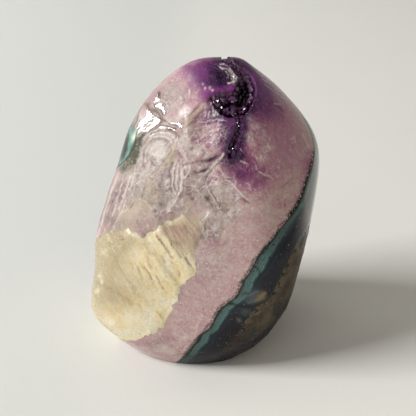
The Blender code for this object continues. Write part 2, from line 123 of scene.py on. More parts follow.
# The geode's wall, where quartz ends and rind begins. Its front right end is drawn as it is seen in
# the front picture, and carried on where that doesn't show it: (x, y, height) in mm.
WALL_FRONT_SEEN = [
    (315, 152), (312, 168), (308.5, 178), (305.5, 188), (302.5, 196), (298, 206), (293, 213),
    (286.5, 222), (279, 231), (273, 240), (266, 247), (259, 257), (252.5, 270), (245, 280),
    (241.5, 290), (236.5, 298), (227.5, 304), (220.5, 310), (214.5, 322), (209.5, 330), (201.5, 335),
    (197.5, 342), (191.5, 348), (187, 355), (181, 360),
]
WALL_FRONT_HIDDEN = [(38, 6, 78), (37, 11, 84), (33, 14, 89), (26, 17, 98), (14, 20, 112), (-20, -34, -12)]

# Its back left end's x and y, and how far it bows back between the ends: (height, x, y, bow) in mm.
WALL_BACK = [
    (-12, -16, 30, 2), (4, -20, 28, 2), (16, -26, 28, 3), (27, -34, 28, 4), (37, -42, 22, 6),
    (46, -46, 15, 8), (57, -46, 7, 8), (60, -44.5, 5.8, 7.6), (63, -42.5, 4.4, 7.2), (66, -40, 1.7, 7),
    (71, -34.5, -3.5, 7), (78, -30, -5.0, 9), (84, -28, 1, 9), (89, -29, 8, 7), (98, -20, 15, 4),
    (112, -4, 18, 3),
]
WALL_COLUMNS = 60
WALL_ROWS = 140
WALL_OVERRUN = 1.0
RIND_SIDE = (60 * MM, 95 * MM, 0)

# The calcite crystal: corners of its outline seen from its own side, as (across, up) in mm, and
# how deep it reaches into the quartz.
CALCITE_TURN = -40
CALCITE_OUTLINE = [
    (-35, 41), (-24, 45), (-16, 51), (-8, 54.5), (-1, 53), (4, 58), (9, 62), (14.5, 60),
    (17, 55.5), (15.5, 49), (17, 42.5), (13.5, 37.5), (12, 30), (8.5, 19.5), (4, 15.5),
    (-2, 11), (-8, 9), (-14, 5), (-24, -6), (-38, -6), (-42, 14), (-40, 31),
]
CALCITE_FRONT = 60 * MM
CALCITE_BRIM = 29 * MM
CALCITE_BACK = 20 * MM
CALCITE_TAPER = 0.78
TOOTH_SPACING = 0.7

# Its cleavage ledges, which dip that many degrees, as (where, rise) in mm, and the finer terraces
# between them, whose lengths are in mm across the ledges, along them and outwards.
LEDGE_DIP = 47
LEDGES = [(14, 0.8), (22, -0.9), (30, 1.3), (34.5, -1.2), (38, 1.1), (41.5, -1.2), (45, 1.0)]
LEDGE_START = -0.2
LEDGE_RAMP = 1.0 * MM
LEDGE_SHARE = 0.45
LEDGE_WANDER = 0.9 * MM
TERRACE_LENGTHS = (2.1, 9, 12)
TERRACE_STEPS = 5
TERRACE_SHARE = 0.75

# Fine skin: how finely the block is covered, the ball that spaces its points evenly, the rounds
# that find the surface and cut the hollows, and how ragged the rims of the hollows are.
SKIN_SUBDIVISIONS = 8
SKIN_STRETCH = np.array([42, 33, 56])
SKIN_START = 50 * MM
SKIN_STEPS = 26
CARVE_ROUNDS = 3
RIM_DISTANCE = 60 * MM
RIM_WIDTH = 11
RIM_SWAY = 0.016

# The gap between pieces, and the angles from which their edges are sharp, in degrees.
SEAM = 0.04 * MM
GLASS_SHARP_ANGLE = 14
STONE_SHARP_ANGLE = 35

# Nearly flat chips that mirror the window, drawn as they are seen in the front picture, whose
# frame is 416 wide and high: how far sunk in mm, then the corners, each as right and down. Their
# common direction is a turn and a tilt, and MIRROR_MOVES limits how far the skin moves to them.
MIRROR_FACING = (-36, 38)
MIRROR_MOVES = (-1.5 * MM, 1.0 * MM)
MIRRORS = [
    (0.1, 158, 92, 161, 92, 160, 97, 162, 103, 165, 107, 167, 113, 164, 116, 160, 110, 154, 107, 153, 102),
    (0.2, 148, 109, 153, 114, 162, 119, 156, 126, 146, 133, 138, 135, 136, 128, 139, 122, 144, 116),
    (0.1, 166, 120.5, 173, 122, 180, 122, 184, 127, 181, 129, 177, 125.5, 170, 124),
    (0.3, 152, 132, 160, 125, 168, 126, 177, 129, 175, 131.5, 168, 129.5, 160, 129),
]

# Tiny crystal faces that mirror the window too: (right, down, half width).
GLINTS = [
    (243, 82, 1.9), (247, 107, 1.6), (254, 110, 1.5), (249, 114.5, 1.1), (260, 95.5, 1.2),
    (257, 132.5, 1.4), (249.5, 146, 1.4), (254.5, 151.5, 1.2), (261, 156, 1.4), (233, 77, 1.3),
    (214, 100, 1.4), (186, 130, 1.4), (197, 153, 1.5), (177.5, 143, 1.3), (270, 176.5, 1.0),
    (212.5, 90, 1.2), (205, 88, 1.1), (232, 82.5, 1.4), (199, 181, 1.2), (288, 249, 1.0),
]

# Scratches that break the mirrored window up: half width and strength, then right and down of
# each place along them.
SCRATCHES = [
    (0.7, 0.9, 154, 103.5, 157, 104, 160, 103), (0.7, 0.8, 157, 97, 160, 98, 162, 100),
    (0.6, 0.8, 146.5, 123, 149, 122, 153, 121), (0.6, 0.8, 143.5, 126.5, 146, 125, 147, 127.5, 145, 129),
    (0.6, 0.8, 148.5, 126, 151, 124.5), (0.9, 0.9, 141, 132, 142, 132.5), (0.6, 0.7, 138, 129, 139.5, 128),
    (0.6, 0.7, 152, 118, 156, 117), (0.6, 0.7, 140, 121, 144, 117), (0.8, 0.8, 163, 126.5, 167, 128),
]

# Lines of the front, drawn the same way: half width and strength, then right and down of each place.
LINES = {
    "pale": [
        (0.5, 0.4, 222, 124, 213, 124.5, 206, 127), (0.5, 0.5, 219, 129, 212, 131),
        (0.5, 0.35, 224, 134, 216, 137.5, 207, 142), (0.5, 0.45, 219, 142, 213, 146),
        (0.5, 0.5, 222, 146, 214, 151), (0.5, 0.45, 226, 120.5, 216, 119.5, 209, 121),
        (1.0, 0.45, 119, 172, 115, 182, 111.5, 192, 108, 202, 104, 214, 100.5, 227, 97, 238),
        (0.7, 0.5, 123, 178, 120, 190, 116, 204, 113, 216),
        (0.6, 0.5, 131, 175, 127, 188, 123, 200, 119, 210),
        (0.5, 0.5, 112, 232, 116, 222, 122, 212, 127, 200), (0.5, 0.4, 136, 168, 133, 180, 129, 190),
        (0.6, 0.6, 222, 106, 219.5, 110, 217, 115), (0.5, 0.6, 216, 97, 217.5, 102, 216.5, 108, 215, 115),
        (0.5, 0.5, 212, 102, 209, 107, 205, 111, 200, 116), (0.5, 0.5, 207, 106, 206, 112, 204, 117),
        (1.5, 0.55, 230, 69, 233.5, 73, 234.5, 78, 233, 83),
        (1.0, 0.8, 150, 136, 156, 133.5, 163, 132.5, 169, 134, 173, 137),
        (0.6, 0.7, 148, 135, 154, 131, 160, 127),
        (0.7, 0.5, 148, 140, 154, 136.5, 161, 136.5, 168, 138, 172, 142),
        (0.9, 0.8, 182, 150, 184, 154, 186, 158, 187, 161), (0.6, 0.5, 186.5, 140, 186.5, 148),
        (0.9, 0.8, 176, 161, 174, 168, 173, 177, 173, 187, 175, 193, 177, 197),
        (0.7, 0.6, 178.5, 163, 177.5, 172, 177, 182, 177.5, 190),
        (1.0, 0.8, 181, 167, 182, 176, 182, 184, 181, 190, 178, 197, 175, 203),
        (0.8, 0.7, 185, 166, 183, 172, 184, 178), (0.8, 0.8, 189.5, 165, 190, 170, 187, 176, 185, 179),
        (1.0, 0.9, 224, 154, 221, 158, 216, 163, 212, 167, 208, 171, 203, 176, 199, 181),
        (0.8, 0.7, 214, 170, 212, 174, 210, 176), (0.6, 0.6, 221, 163, 217, 168, 214, 171),
        (0.7, 0.6, 200, 175, 205, 173, 209, 172), (0.8, 0.7, 218, 168, 221, 171, 224, 175, 226, 179),
        (0.9, 0.8, 226, 180, 231, 182, 235, 187, 239, 191, 243, 195, 249, 200),
        (0.6, 0.4, 215, 184, 220, 182, 227, 181),
        (0.8, 0.6, 209, 190, 210, 194, 213, 198, 216, 203, 219, 209),
        (0.7, 0.6, 214, 193, 217, 197, 219, 201), (0.8, 0.5, 202, 220, 207, 216, 210, 212),
        (0.9, 0.7, 200, 221, 203, 226, 204, 233),
        (0.7, 0.5, 196, 199, 197, 195, 199, 192, 203, 194, 203, 198),
        (0.7, 0.6, 240, 161, 244, 163, 247, 164), (0.6, 0.6, 256, 166, 257, 170),
        (0.7, 0.7, 260, 172, 265, 175, 270, 176), (0.6, 0.5, 246, 183, 250, 185, 251, 190),
        (0.7, 0.6, 275, 103.5, 280, 104), (0.9, 0.4, 303, 134, 306, 141, 309, 148),
        (0.7, 0.5, 291, 140, 294, 136, 295, 142, 292, 143), (0.5, 0.35, 265, 85, 275, 92, 286, 101),
        (0.5, 0.35, 262, 79, 274, 87, 285, 95), (0.5, 0.3, 258, 73, 270, 82, 282, 92),
        (0.6, 0.5, 241, 148, 243, 152), (0.6, 0.5, 266, 153, 270, 150, 270, 147),
        (1.0, 0.7, 221, 64, 227, 64, 232, 67, 236, 71, 237.5, 77, 236, 80),
        (0.6, 0.5, 218, 66, 222, 68, 227, 69, 230, 72, 231, 77), (0.6, 0.5, 233, 70, 234, 75, 233, 79),
        # Painted highlight: the stroke from (229, 83) to (236, 81), at a glint.
        (0.9, 0.9, 229, 83, 233, 82.5, 236, 81), (0.7, 0.7, 219, 67, 223, 69),
        (0.5, 0.4, 226, 71, 228, 75, 228, 78), (0.6, 0.7, 213, 108, 214, 116),
        (0.7, 0.6, 210, 112, 208, 117), (1.0, 0.6, 220.5, 107, 217.5, 113), (0.6, 0.5, 216, 96, 219, 99),
        # Painted highlights: these two strokes are glints on the ridge below the lobe.
        (0.8, 0.8, 214, 100, 211, 103), (0.6, 0.6, 206, 104, 205, 109),
        (0.6, 0.5, 141, 199, 146, 202, 149, 206, 152, 210),
    ],
    # Painted shade: darker honey along the calcite's lit top left.
    "dim": [(0.8, 0.5, 110, 240, 118, 236, 127, 234)],
    "edge": [
        (1.8, 1.0, 134, 116, 130.5, 124, 127.5, 132, 126, 140),
        (3.0, 1.0, 126.5, 135, 125.5, 143, 124.5, 150, 122, 156),
        (2.4, 1.0, 315, 152, 311.5, 166, 308, 177, 304, 188, 301, 197, 296, 207, 290, 215),
        (1.1, 0.7, 290, 215, 282, 224, 274, 234, 268, 243, 261, 251, 254, 260, 248, 271, 241, 281),
        (1.1, 0.7, 241, 281, 238, 291, 231, 299, 222, 305, 215, 313, 210, 323, 203, 332, 195, 341),
        (1.2, 0.7, 195, 341, 188, 349, 183, 356),
    ],
    "cream": [
        (1.6, 0.8, 155, 172, 159, 169.5, 163, 166.5, 166, 163, 169, 160, 172, 155, 174, 150, 175, 146),
        (2.2, 0.6, 204, 105, 198, 111, 192, 117, 186, 123), (1.5, 0.6, 186, 123, 184, 127, 188, 132),
        (0.7, 0.5, 217, 164, 213, 168),
        (0.7, 0.9, 120, 214, 125, 212, 130, 208, 134, 204, 137, 201, 141, 199),
    ],
    # Brown strokes are the broken quartz's brownish ridges and cracks, partly painted shadow along them.
    "brown": [
        (1.3, 0.8, 146, 104, 151, 110, 156, 112, 160, 115, 163, 119),
        (1.2, 0.85, 135, 140, 141, 137, 147, 133, 153, 129, 159, 124, 163, 120, 166, 121),
        (0.8, 0.6, 164, 119.5, 168, 123.5, 173, 125.5, 178, 127.5),
        (1.2, 0.6, 152, 134, 157, 131, 163, 130, 170, 131.5, 176, 133.5, 180, 136),
        (1.3, 0.6, 144, 168, 143.5, 160, 144, 152, 147, 146, 151, 142, 156, 139.5, 162, 139, 167, 141),
        (0.6, 0.5, 148, 163, 147.5, 156, 149, 150, 152, 145),
        (0.9, 0.5, 170, 145, 171, 151, 168, 157, 163, 162),
        (0.8, 0.6, 151, 161, 153, 164, 158, 166, 162, 165), (1.2, 0.5, 153, 173, 156, 170, 160, 167),
        (0.9, 0.6, 173, 163, 170, 171, 170, 178, 172, 184),
        (0.9, 0.6, 184, 166, 185, 175, 184, 184, 183, 192, 180, 199),
        (0.5, 0.5, 175, 170, 174.5, 180, 175.5, 190), (0.7, 0.4, 179.5, 170, 179.5, 182, 179, 190),
        (1.2, 0.7, 184, 165, 190, 163.5, 197, 161.5, 203, 161),
        (1.0, 0.6, 203, 150, 205, 153, 201, 158, 197, 161),
        (0.8, 0.6, 203, 111, 197, 118, 191, 123, 185, 128), (0.8, 0.6, 199, 106, 193, 112, 188, 117),
        (0.8, 0.6, 207, 108, 201, 116, 195, 122), (0.7, 0.5, 210, 101, 206, 105, 203, 110),
        (0.8, 0.5, 213, 103, 209, 109), (0.9, 0.7, 211, 191, 214, 196, 217, 200),
        (1.0, 0.7, 207, 197, 210, 203, 213, 207), (0.8, 0.7, 220.5, 202, 220, 206),
        (0.7, 0.5, 205, 197, 209, 200), (1.0, 0.5, 180, 199, 184, 196, 189, 194),
        (0.9, 0.5, 193, 199, 195, 195), (0.7, 0.8, 243, 199, 247, 201, 250, 203),
        (0.6, 0.6, 262, 177, 266, 178, 270, 177.5), (0.7, 0.7, 201, 220, 204, 217, 207, 215),
        (0.7, 0.6, 205, 224, 205, 232), (0.6, 0.7, 129, 208.5, 132, 205, 135, 202),
        (0.7, 0.6, 173, 226, 175, 230), (0.8, 0.5, 143, 198, 143, 193, 145, 188),
        (0.7, 0.35, 137, 220, 139, 227, 141, 232, 146, 236),
    ],
    "violet": [(1.6, 0.6, 244, 68, 252, 74, 262, 83), (0.8, 0.4, 248, 66, 254, 70, 264, 79)],
    "plum": [
        (0.5, 0.3, 228, 126, 216, 127, 206, 130), (0.5, 0.3, 227, 130.5, 217, 133.5),
        (0.5, 0.3, 221, 138, 213, 142), (0.6, 0.4, 229, 123, 218, 121.5, 209, 123.5),
        (1.4, 0.55, 203, 161, 209, 160.5, 214, 158.5, 218, 155),
        (1.0, 0.5, 209, 168.5, 204, 171, 198, 173, 194, 171), (1.0, 0.6, 226, 157, 222, 161, 218, 165),
        # Painted shadow: the dark line under the lobe's overhang.
        (1.0, 0.8, 209, 100, 214, 95.5, 222, 94, 232, 93, 240, 91.5),
        (0.7, 0.5, 267, 104, 272, 102, 278, 106, 283, 112),
    ],
    "magenta": [(1.0, 0.9, 238, 116, 239.5, 121, 240, 126, 238.5, 131, 236, 136, 233, 141)],
    "teal": [(1.3, 1.0, 130.5, 128, 129.8, 136, 129.5, 146, 128.5, 152, 126, 157, 123, 161, 120.5, 165)],
    "olive": [
        (1.5, 0.8, 143, 135, 139, 139, 136, 143, 134, 149, 133, 156),
        (1.6, 0.7, 141, 137, 138.5, 146, 137.5, 155, 134, 163),
    ],
    "rust": [
        (0.8, 0.8, 123, 143, 122, 149, 121, 154), (0.7, 0.35, 279, 188, 284, 186, 288, 182, 291, 179),
    ],
    "ochre": [
        (0.8, 0.8, 157, 236, 162, 243, 166, 249, 170, 255, 173, 258),
        (0.6, 0.7, 170, 240, 174, 247, 178, 253, 182, 258),
        (0.7, 0.6, 177, 243, 181, 245, 184, 250, 187, 255), (0.7, 0.6, 186, 258, 188, 262, 190, 265),
        (0.7, 0.8, 144, 267, 148, 272, 152, 279, 154, 281),
        (0.7, 0.8, 156, 276, 159, 281, 161, 285, 163, 289),
        (0.7, 0.6, 147, 257, 148, 262, 150, 266, 152, 268), (0.6, 0.6, 131, 263, 133, 268),
        (0.7, 0.6, 137, 267, 140, 273, 143, 279), (0.7, 0.6, 162, 257, 165, 263),
        (0.5, 0.5, 179, 272, 180, 276), (0.5, 0.5, 165, 272, 167, 277),
        (0.6, 0.5, 128, 280, 132, 286, 134, 290), (0.7, 0.7, 120, 237, 121, 239, 123, 239.5),
        (1.3, 0.25, 97, 283, 110, 289, 124, 298, 134, 305), (1.0, 0.4, 148, 252, 155, 255),
    ],
    "straw": [
        (1.0, 0.8, 164, 236, 168, 241, 172, 248, 176, 254, 180, 258),
        (0.9, 0.7, 155, 238, 161, 246, 167, 254, 171, 259), (0.6, 0.5, 181, 247, 186, 253),
        (0.7, 0.6, 185, 257, 190, 254), (0.6, 0.5, 127, 278, 134, 288), (0.6, 0.5, 132, 263, 134, 267),
        (0.5, 0.4, 148, 270, 153, 278), (0.6, 0.4, 159, 259, 163, 265),
        (0.7, 0.5, 153, 281, 158, 287, 161, 292),
    ],
    "black": [
        (1.2, 1.0, 224, 305, 230, 303.5, 236, 304.5, 243, 307, 250, 306),
        (0.8, 0.9, 243, 294, 246, 292, 249, 294), (1.3, 1.0, 308, 229, 306, 233, 304, 238, 301, 244),
        (0.9, 0.9, 313, 178, 312.5, 184, 314, 189), (1.0, 0.8, 255, 266, 260, 272, 259, 279),
        (1.0, 0.8, 262, 287, 268, 291, 270, 297, 264, 302, 256, 306),
        (0.9, 0.8, 240, 322, 239, 328, 236, 333), (1.2, 0.8, 229, 330, 225, 338, 219, 345, 214, 352),
    ],
    # Painted shade: near black along the stone's lower right bottom edge, where it meets the floor.
    "gloom": [
        (3.2, 0.9, 289, 300, 283, 312, 277, 321, 270, 330, 261, 338, 249, 346, 236, 353, 220, 358),
    ],
    "slate": [
        (1.6, 0.7, 262, 255, 255, 266, 248, 280, 240, 296),
        (3.6, 0.6, 298, 213, 288, 226, 279, 238, 270, 250),
        (1.5, 0.6, 292, 214, 282, 226, 272, 239, 263, 251),
        (1.4, 0.6, 228, 308, 216, 320, 206, 336, 196, 350),
        (1.0, 0.8, 306.5, 228, 303, 234, 299, 240, 297, 247), (0.9, 1.0, 246, 296, 252, 294, 258, 291),
        (0.9, 1.0, 248, 303, 255, 301, 262, 297),
    ],
    "tan": [(1.2, 0.9, 256, 300, 260, 298, 265, 293), (0.8, 0.7, 246, 321, 252, 316, 260, 312)],
}

# Patches of the front: (right, down, half width, half height, turn in degrees, strength).
PATCHES = {
    "pale": [
        # Among the pale patches, those at glint places are painted highlights: (186, 130), (177.5, 143) with
        # (175, 141) and (180, 146), (197, 153), (199, 181), and on the lobe from (203, 84) to (233, 77).
        (156, 151, 10, 12, 0, 0.45), (187, 110.5, 4.5, 5, 30, 0.8), (181, 113, 3, 4, 0, 0.5),
        (186, 117, 1.5, 3, 0, 0.7), (197, 153, 4.5, 2.5, 0, 0.85), (186, 168, 1.5, 1.5, 0, 0.7),
        (177.5, 143, 1.3, 2, 0, 0.9), (175, 141, 1, 1.5, 0, 0.7), (180, 146, 1, 1.5, 0, 0.6),
        (186, 130, 1, 2, 0, 0.9), (181.5, 188, 1.5, 5, 0, 0.6), (202, 179, 3, 3, 0, 0.6),
        (199, 181, 1, 1, 0, 0.9), (166, 180, 4, 4, 0, 0.5), (225, 190, 9, 8, 0, 0.5),
        (228, 208, 2, 1, 0, 0.7), (209, 214, 2.5, 3.5, 20, 0.6), (247, 206, 2.5, 1.5, 0, 0.6),
        (252.5, 207.5, 1, 1, 0, 0.7), (246, 192, 1.5, 2, 0, 0.5), (203, 84, 1.2, 1.2, 0, 0.5),
        (205, 88, 1, 1.7, 0, 0.7), (210, 88, 1.2, 1.5, 0, 0.7), (212.5, 90, 1, 1.2, 0, 0.8),
        (189.5, 92, 0.8, 3, 0, 0.6), (181, 98, 1.5, 2, 0, 0.5), (233, 77, 1, 1.5, 0, 0.9),
        (250, 120, 3, 4, 0, 0.35), (256, 127, 5, 3, 0, 0.4), (250, 138, 4, 6, 0, 0.5),
        (263, 138, 4, 4, 0, 0.3), (267, 148, 5, 4, 0, 0.3), (251, 92, 4, 3, 0, 0.2),
        (180, 320, 2.5, 1.5, 0, 0.5), (164, 348, 4, 3, 0, 0.4), (143, 348, 4, 2, 0, 0.4),
        (176, 313, 1.5, 2.5, 0, 0.4), (184, 338, 5, 2.5, -20, 0.5), (196, 326, 4, 2, -20, 0.4),
        (172, 352, 4, 2.5, 0, 0.4), (218, 225, 5, 4, 0, 0.35), (208, 214, 5, 5, 0, 0.35),
        (232, 209, 7, 3, 0, 0.35), (262, 158, 4, 3, 0, 0.4), (240, 96, 4, 2.5, 0, 0.1),
    ],
    "cream": [
        (171.5, 159.5, 4, 3.5, -40, 0.9), (173, 153, 2, 4, 20, 0.6), (138, 206, 10, 6, -20, 0.5),
        (128, 217, 9, 7, 0, 0.45), (188, 204, 3.5, 3.5, 0, 0.7), (218, 208, 1.5, 2.5, 0, 0.7),
        (228, 238, 9, 12, -30, 0.2), (150, 190, 6, 6, 0, 0.35), (183, 222, 6, 4, 0, 0.5),
        (196, 226, 6, 6, 0, 0.6), (220, 200, 9, 12, -30, 0.35), (150, 202, 12, 12, 0, 0.4),
        (152, 183, 8, 5, 0, 0.35),
    ],
    "brown": [
        (156, 111, 5, 2.5, 20, 0.7), (146, 105, 6, 6, 0, 0.4), (192.5, 149, 2.5, 2.2, 0, 0.9),
        (155, 211, 1.3, 1.6, 0, 0.9), (163, 162, 3, 2.5, 0, 0.5), (134, 167, 5, 5, 0, 0.4),
        (152, 204, 4, 3, 0, 0.4), (150, 198, 18, 18, 0, 0.24), (186, 195, 14, 12, 0, 0.15),
        (124, 224, 14, 9, 0, 0.3), (146, 235, 7, 8, 0, 0.4), (160, 222, 14, 6, 0, 0.2),
        (160, 204, 4, 3, 0, 0.3), (182, 209, 3.5, 2.5, 0, 0.5), (192, 199, 2, 2, 0, 0.6),
        (208, 200, 3, 4, 30, 0.5), (170, 190, 3, 4, 0, 0.4), (188, 228, 6, 3.5, 0, 0.5),
        (168, 231, 5, 3, 0, 0.5), (203, 239, 2, 4, 0, 0.4), (168, 152, 3, 6, 0, 0.3),
        (278.5, 199.5, 1, 0.9, 0, 1.0), (285.5, 205, 0.8, 1.2, 0, 0.8), (225, 203, 1.2, 1, 0, 0.6),
        (226, 267, 1, 1, 0, 0.6), (212, 317, 1, 1, 0, 0.7),
    ],
    "plum": [(213, 159, 7, 3, -20, 0.6), (230, 164, 8, 6, -20, 0.3), (204, 171, 6, 2, -15, 0.5)],
    "magenta": [
        (218, 90, 8, 3, 0, 0.45), (232, 88, 6, 3.5, 0, 0.7), (207, 92, 6, 4, 0, 0.5),
        (203, 74, 5, 6, 0, 0.25), (192, 81.5, 1.8, 1.6, 0, 0.8), (200, 101, 5, 3, 0, 0.4),
        (264, 81, 3, 3, 0, 0.3), (230, 122, 6, 3, 0, 0.3), (254, 77, 3, 2.5, 0, 0.3),
    ],
    "teal": [(128, 132, 2.0, 4, 20, 0.5)],
    "olive": [
        (137, 147, 5.5, 9, 15, 0.7), (132, 153, 4, 10, 20, 0.9), (131, 162, 5, 9, 25, 0.7),
        (123, 168, 5, 6, 0, 0.9), (140, 139, 3.5, 3, 0, 0.6),
    ],
    "mint": [(134, 137, 2.8, 6, 25, 1.0), (137, 131, 2, 3, 0, 0.6)],
    "violet": [
        (204, 78, 7, 14, 0, 0.55), (194, 72, 9, 8, 0, 0.35), (257, 79, 7, 5, 35, 0.7),
        (264, 88, 14, 12, 35, 0.45), (276, 104, 14, 12, 35, 0.3), (246, 64, 7, 4, 30, 0.4),
        (224, 66, 8, 4, 0, 0.4), (266, 92, 6, 8, 35, 0.4), (228, 128, 5, 12, 0, 0.3),
        (264, 112, 14, 22, 0, 0.28),
    ],
    # Partly painted light: lighter pink violet on the right of the quartz, where light comes through it, over
    # its own violet tint.
    "orchid": [(286, 140, 20, 40, -10, 0.50), (262, 158, 10, 10, 0, 0.25), (264, 82, 12, 8, 35, 0.20)],
    "honey": [(150, 220, 48, 15, 0, 1.0), (194, 224, 14, 16, 0, 0.8)],
    "mauve": [
        (188, 228, 18, 10, -10, 1.1), (170, 229, 8, 6, 0, 1.0), (197, 244, 8, 16, 0, 0.9),
        (182, 243, 8, 8, 0, 0.5), (176, 240, 5, 8, -30, 0.35), (122, 236, 10, 4, -20, 0.4),
    ],
    "slate": [
        (253, 297, 9, 7, 0, 0.8), (246, 312, 6, 4, 0, 0.6), (280, 226, 10, 8, -40, 0.35),
        (240, 320.5, 2, 1.6, 0, 1.0),
    ],
    "gloss": [(313, 200, 11, 40, 0, 1.4), (314, 165, 8, 20, 0, 1.0)],
    "quartz": [(140, 108, 6, 14, 25, 1.2), (134, 120, 3.5, 7, 25, 0.7), (117, 172, 6, 6, 0, 1.0)],
    "straw": [
        # Painted highlights: (112, 324), bright where light comes through the calcite's lower left corner,
        # and the small white spots on its left edge at (102, 282), (98, 290) and (96, 292).
        (112, 324, 7, 5, 20, 0.8), (158.5, 230, 1.8, 1.8, 0, 0.9), (170, 223, 2.5, 2.5, 0, 0.9),
        (150, 240, 5, 4, 0, 0.6), (128, 232, 6, 4, -20, 0.5), (102, 282, 1.5, 2.5, 0, 0.8),
        (98, 290, 1.8, 2.2, 0, 0.7), (104, 252, 3, 3, 0, 0.4), (100, 276, 2, 2, 0, 0.6),
        (96, 292, 1.3, 1.6, 0, 0.6), (198.5, 267, 0.9, 3, 0, 0.7), (150, 325, 12, 5, 0, 0.35),
    ],
    "ochre": [(197, 264, 1.2, 1.5, 0, 0.9), (120, 290, 14, 5, 20, 0.25), (160, 240, 3, 5, -30, 0.3)],
    "shade": [
        (219, 77, 11, 10, 0, 1.35), (209, 77, 8, 9, 0, 0.65), (203, 84, 4, 6, 0, 0.3),
        (229, 84, 5, 4, 0, 0.4), (205, 62, 14, 4, 0, 0.3), (188, 68, 9, 6, 0, 0.3),
        # Partly painted shade: (228, 104) darkens the hollow's floor under the lobe.
        (194, 78, 10, 10, 0, 0.25), (228, 104, 16, 11, 0, 1.0), (250, 84, 11, 12, -35, 0.6),
        (258, 104, 10, 14, -20, 0.35), (240, 67, 9, 8, 20, 0.75), (256, 79, 6, 4, 35, 0.35),
        (258, 98, 9, 9, 0, 0.15), (268, 106, 12, 10, 0, 0.3), (276, 114, 14, 10, 20, 0.3),
        (263, 88, 8, 8, 35, 0.3), (232, 127, 6, 12, 0, 0.4), (246, 121, 4, 9, 0, 0.6),
        (240, 137, 6, 6, 0, 0.7), (236, 152, 8, 7, 0, 0.8), (242, 157, 11, 3.5, 10, 0.5),
        (222, 140, 5, 6, 0, 0.25), (246, 173, 22, 15, 0, 0.62), (241, 176, 7, 8, 0, 0.2),
        # Partly painted light: the negative patches on the right, (262, 160) here, (252, 140) and (266, 148)
        # two lines down, and (290, 172) and (260, 160) further down, where light comes through the quartz.
        (262, 160, 6, 5, 0, -0.3), (196, 74, 14, 10, 0, 0.2), (262, 183, 9, 5, 0, 0.2),
        (220, 175, 7, 4, 0, 0.25), (282, 128, 20, 18, 0, 0.06), (240, 135, 34, 42, 0, 0.20),
        (252, 140, 5, 8, 0, -0.2), (266, 148, 8, 6, 0, -0.1), (222, 196, 12, 14, 0, -0.18),
        (206, 118, 14, 8, 0, 0.44), (226, 135, 8, 16, 0, 0.3), (203, 180, 22, 28, 0, 0.14),
        (212, 246, 4, 7, 20, 0.12), (226, 243, 6, 3, -30, 0.14), (199, 279, 5, 6, 0, 0.14),
        (190, 301, 4, 8, 20, 0.12), (168, 337, 9, 4, -20, 0.12), (219, 271, 5, 3, 0, 0.10),
        # Partly painted shade: (170, 92), (190, 95), (110, 205) and (150, 95) darken the window-lit upper
        # left and left strip.
        (170, 92, 20, 18, 0, 0.22), (190, 95, 16, 16, 0, 0.12), (110, 205, 16, 36, 20, 0.40),
        (150, 95, 10, 14, 35, 0.25), (150, 155, 14, 12, 0, -0.15), (176, 140, 8, 12, 0, 0.12),
        (309, 163, 6, 15, 10, 0.35), (290, 172, 10, 14, 0, -0.12), (260, 160, 7, 7, 0, -0.12),
        (205, 125, 16, 12, 0, 0.12), (142, 204, 14, 18, 0, 0.18), (165, 190, 12, 18, 0, 0.12),
    ],
    "glass": [
        (150, 140, 34, 45, 0, 0.9), (125, 205, 30, 38, 20, 0.9), (172, 200, 34, 28, 0, 0.6),
        (172, 92, 20, 18, 0, 0.8), (214, 206, 16, 30, -20, 0.7), (112, 215, 18, 34, 10, 0.6),
        (212, 262, 20, 40, 25, 0.5), (160, 345, 16, 9, 0, 0.5),
    ],
    "dull": [
        (214, 134, 18, 18, 0, 1.0), (176, 92, 20, 24, 0, 1.3), (175, 165, 45, 55, 0, 1.0),
        (115, 205, 22, 60, 15, 1.0), (150, 90, 8, 10, 0, 1.0), (128, 145, 10, 24, 15, 1.2),
    ],
    "fan": [(208, 133, 20, 15, 0, 1.0), (222, 122, 12, 8, 0, 0.4)],
    "strip": [(116, 205, 14, 40, 20, 1.0)],
    # Darker honey on the calcite: painted shade on its window-lit left side and top left, while (187, 232)
    # and (194, 248) are its own darker tone.
    "dim": [
        (104, 268, 26, 42, 10, 1.3), (120, 240, 25, 12, 0, 0.8), (118, 300, 22, 8, 25, 0.5),
        (100, 300, 10, 20, 0, 0.3), (187, 232, 16, 12, 0, 0.8), (194, 248, 9, 14, 0, 0.7),
        (140, 285, 14, 12, 30, 0.35),
    ],
    # Painted shade on the lower right rind and under the front, near the floor.
    "gloom": [(240, 345, 30, 22, -30, 0.8), (195, 362, 25, 10, 0, 0.8), (285, 290, 14, 30, 30, 0.25)],
    "tan": [(261, 297, 4, 5, 20, 0.9), (239, 320.5, 2, 2, 0, 0.6)],
    "rust": [(235, 343, 5, 6, 0, 0.8)],
}
MARK_COLOURS = {
    "cream": (0.72, 0.60, 0.42),
    "pale": (0.92, 0.84, 0.77),
    "brown": (0.22, 0.14, 0.11),
    "plum": (0.07, 0.02, 0.045),
    "magenta": (0.36, 0.07, 0.34),
    "olive": (0.075, 0.085, 0.045),
    "mint": (0.62, 0.72, 0.60),
    "teal": (0.15, 0.33, 0.26),
    "straw": (0.96, 0.87, 0.62),
    "ochre": (0.27, 0.165, 0.075),
    "black": (0.008, 0.009, 0.009),
    # Near black of the painted shade at the stone's bottom edge.
    "gloom": (0.005, 0.005, 0.006),
    "violet": (0.22, 0.065, 0.24),
    "orchid": (0.55, 0.23, 0.37),
    "mauve": (0.47, 0.32, 0.25),
    "slate": (0.085, 0.115, 0.12),
    "edge": (0.006, 0.008, 0.006),
    "quartz": (0.30, 0.25, 0.22),
    "dim": (0.52, 0.435, 0.265),
    "tan": (0.24, 0.17, 0.09),
    "rust": (0.12, 0.04, 0.025),
}

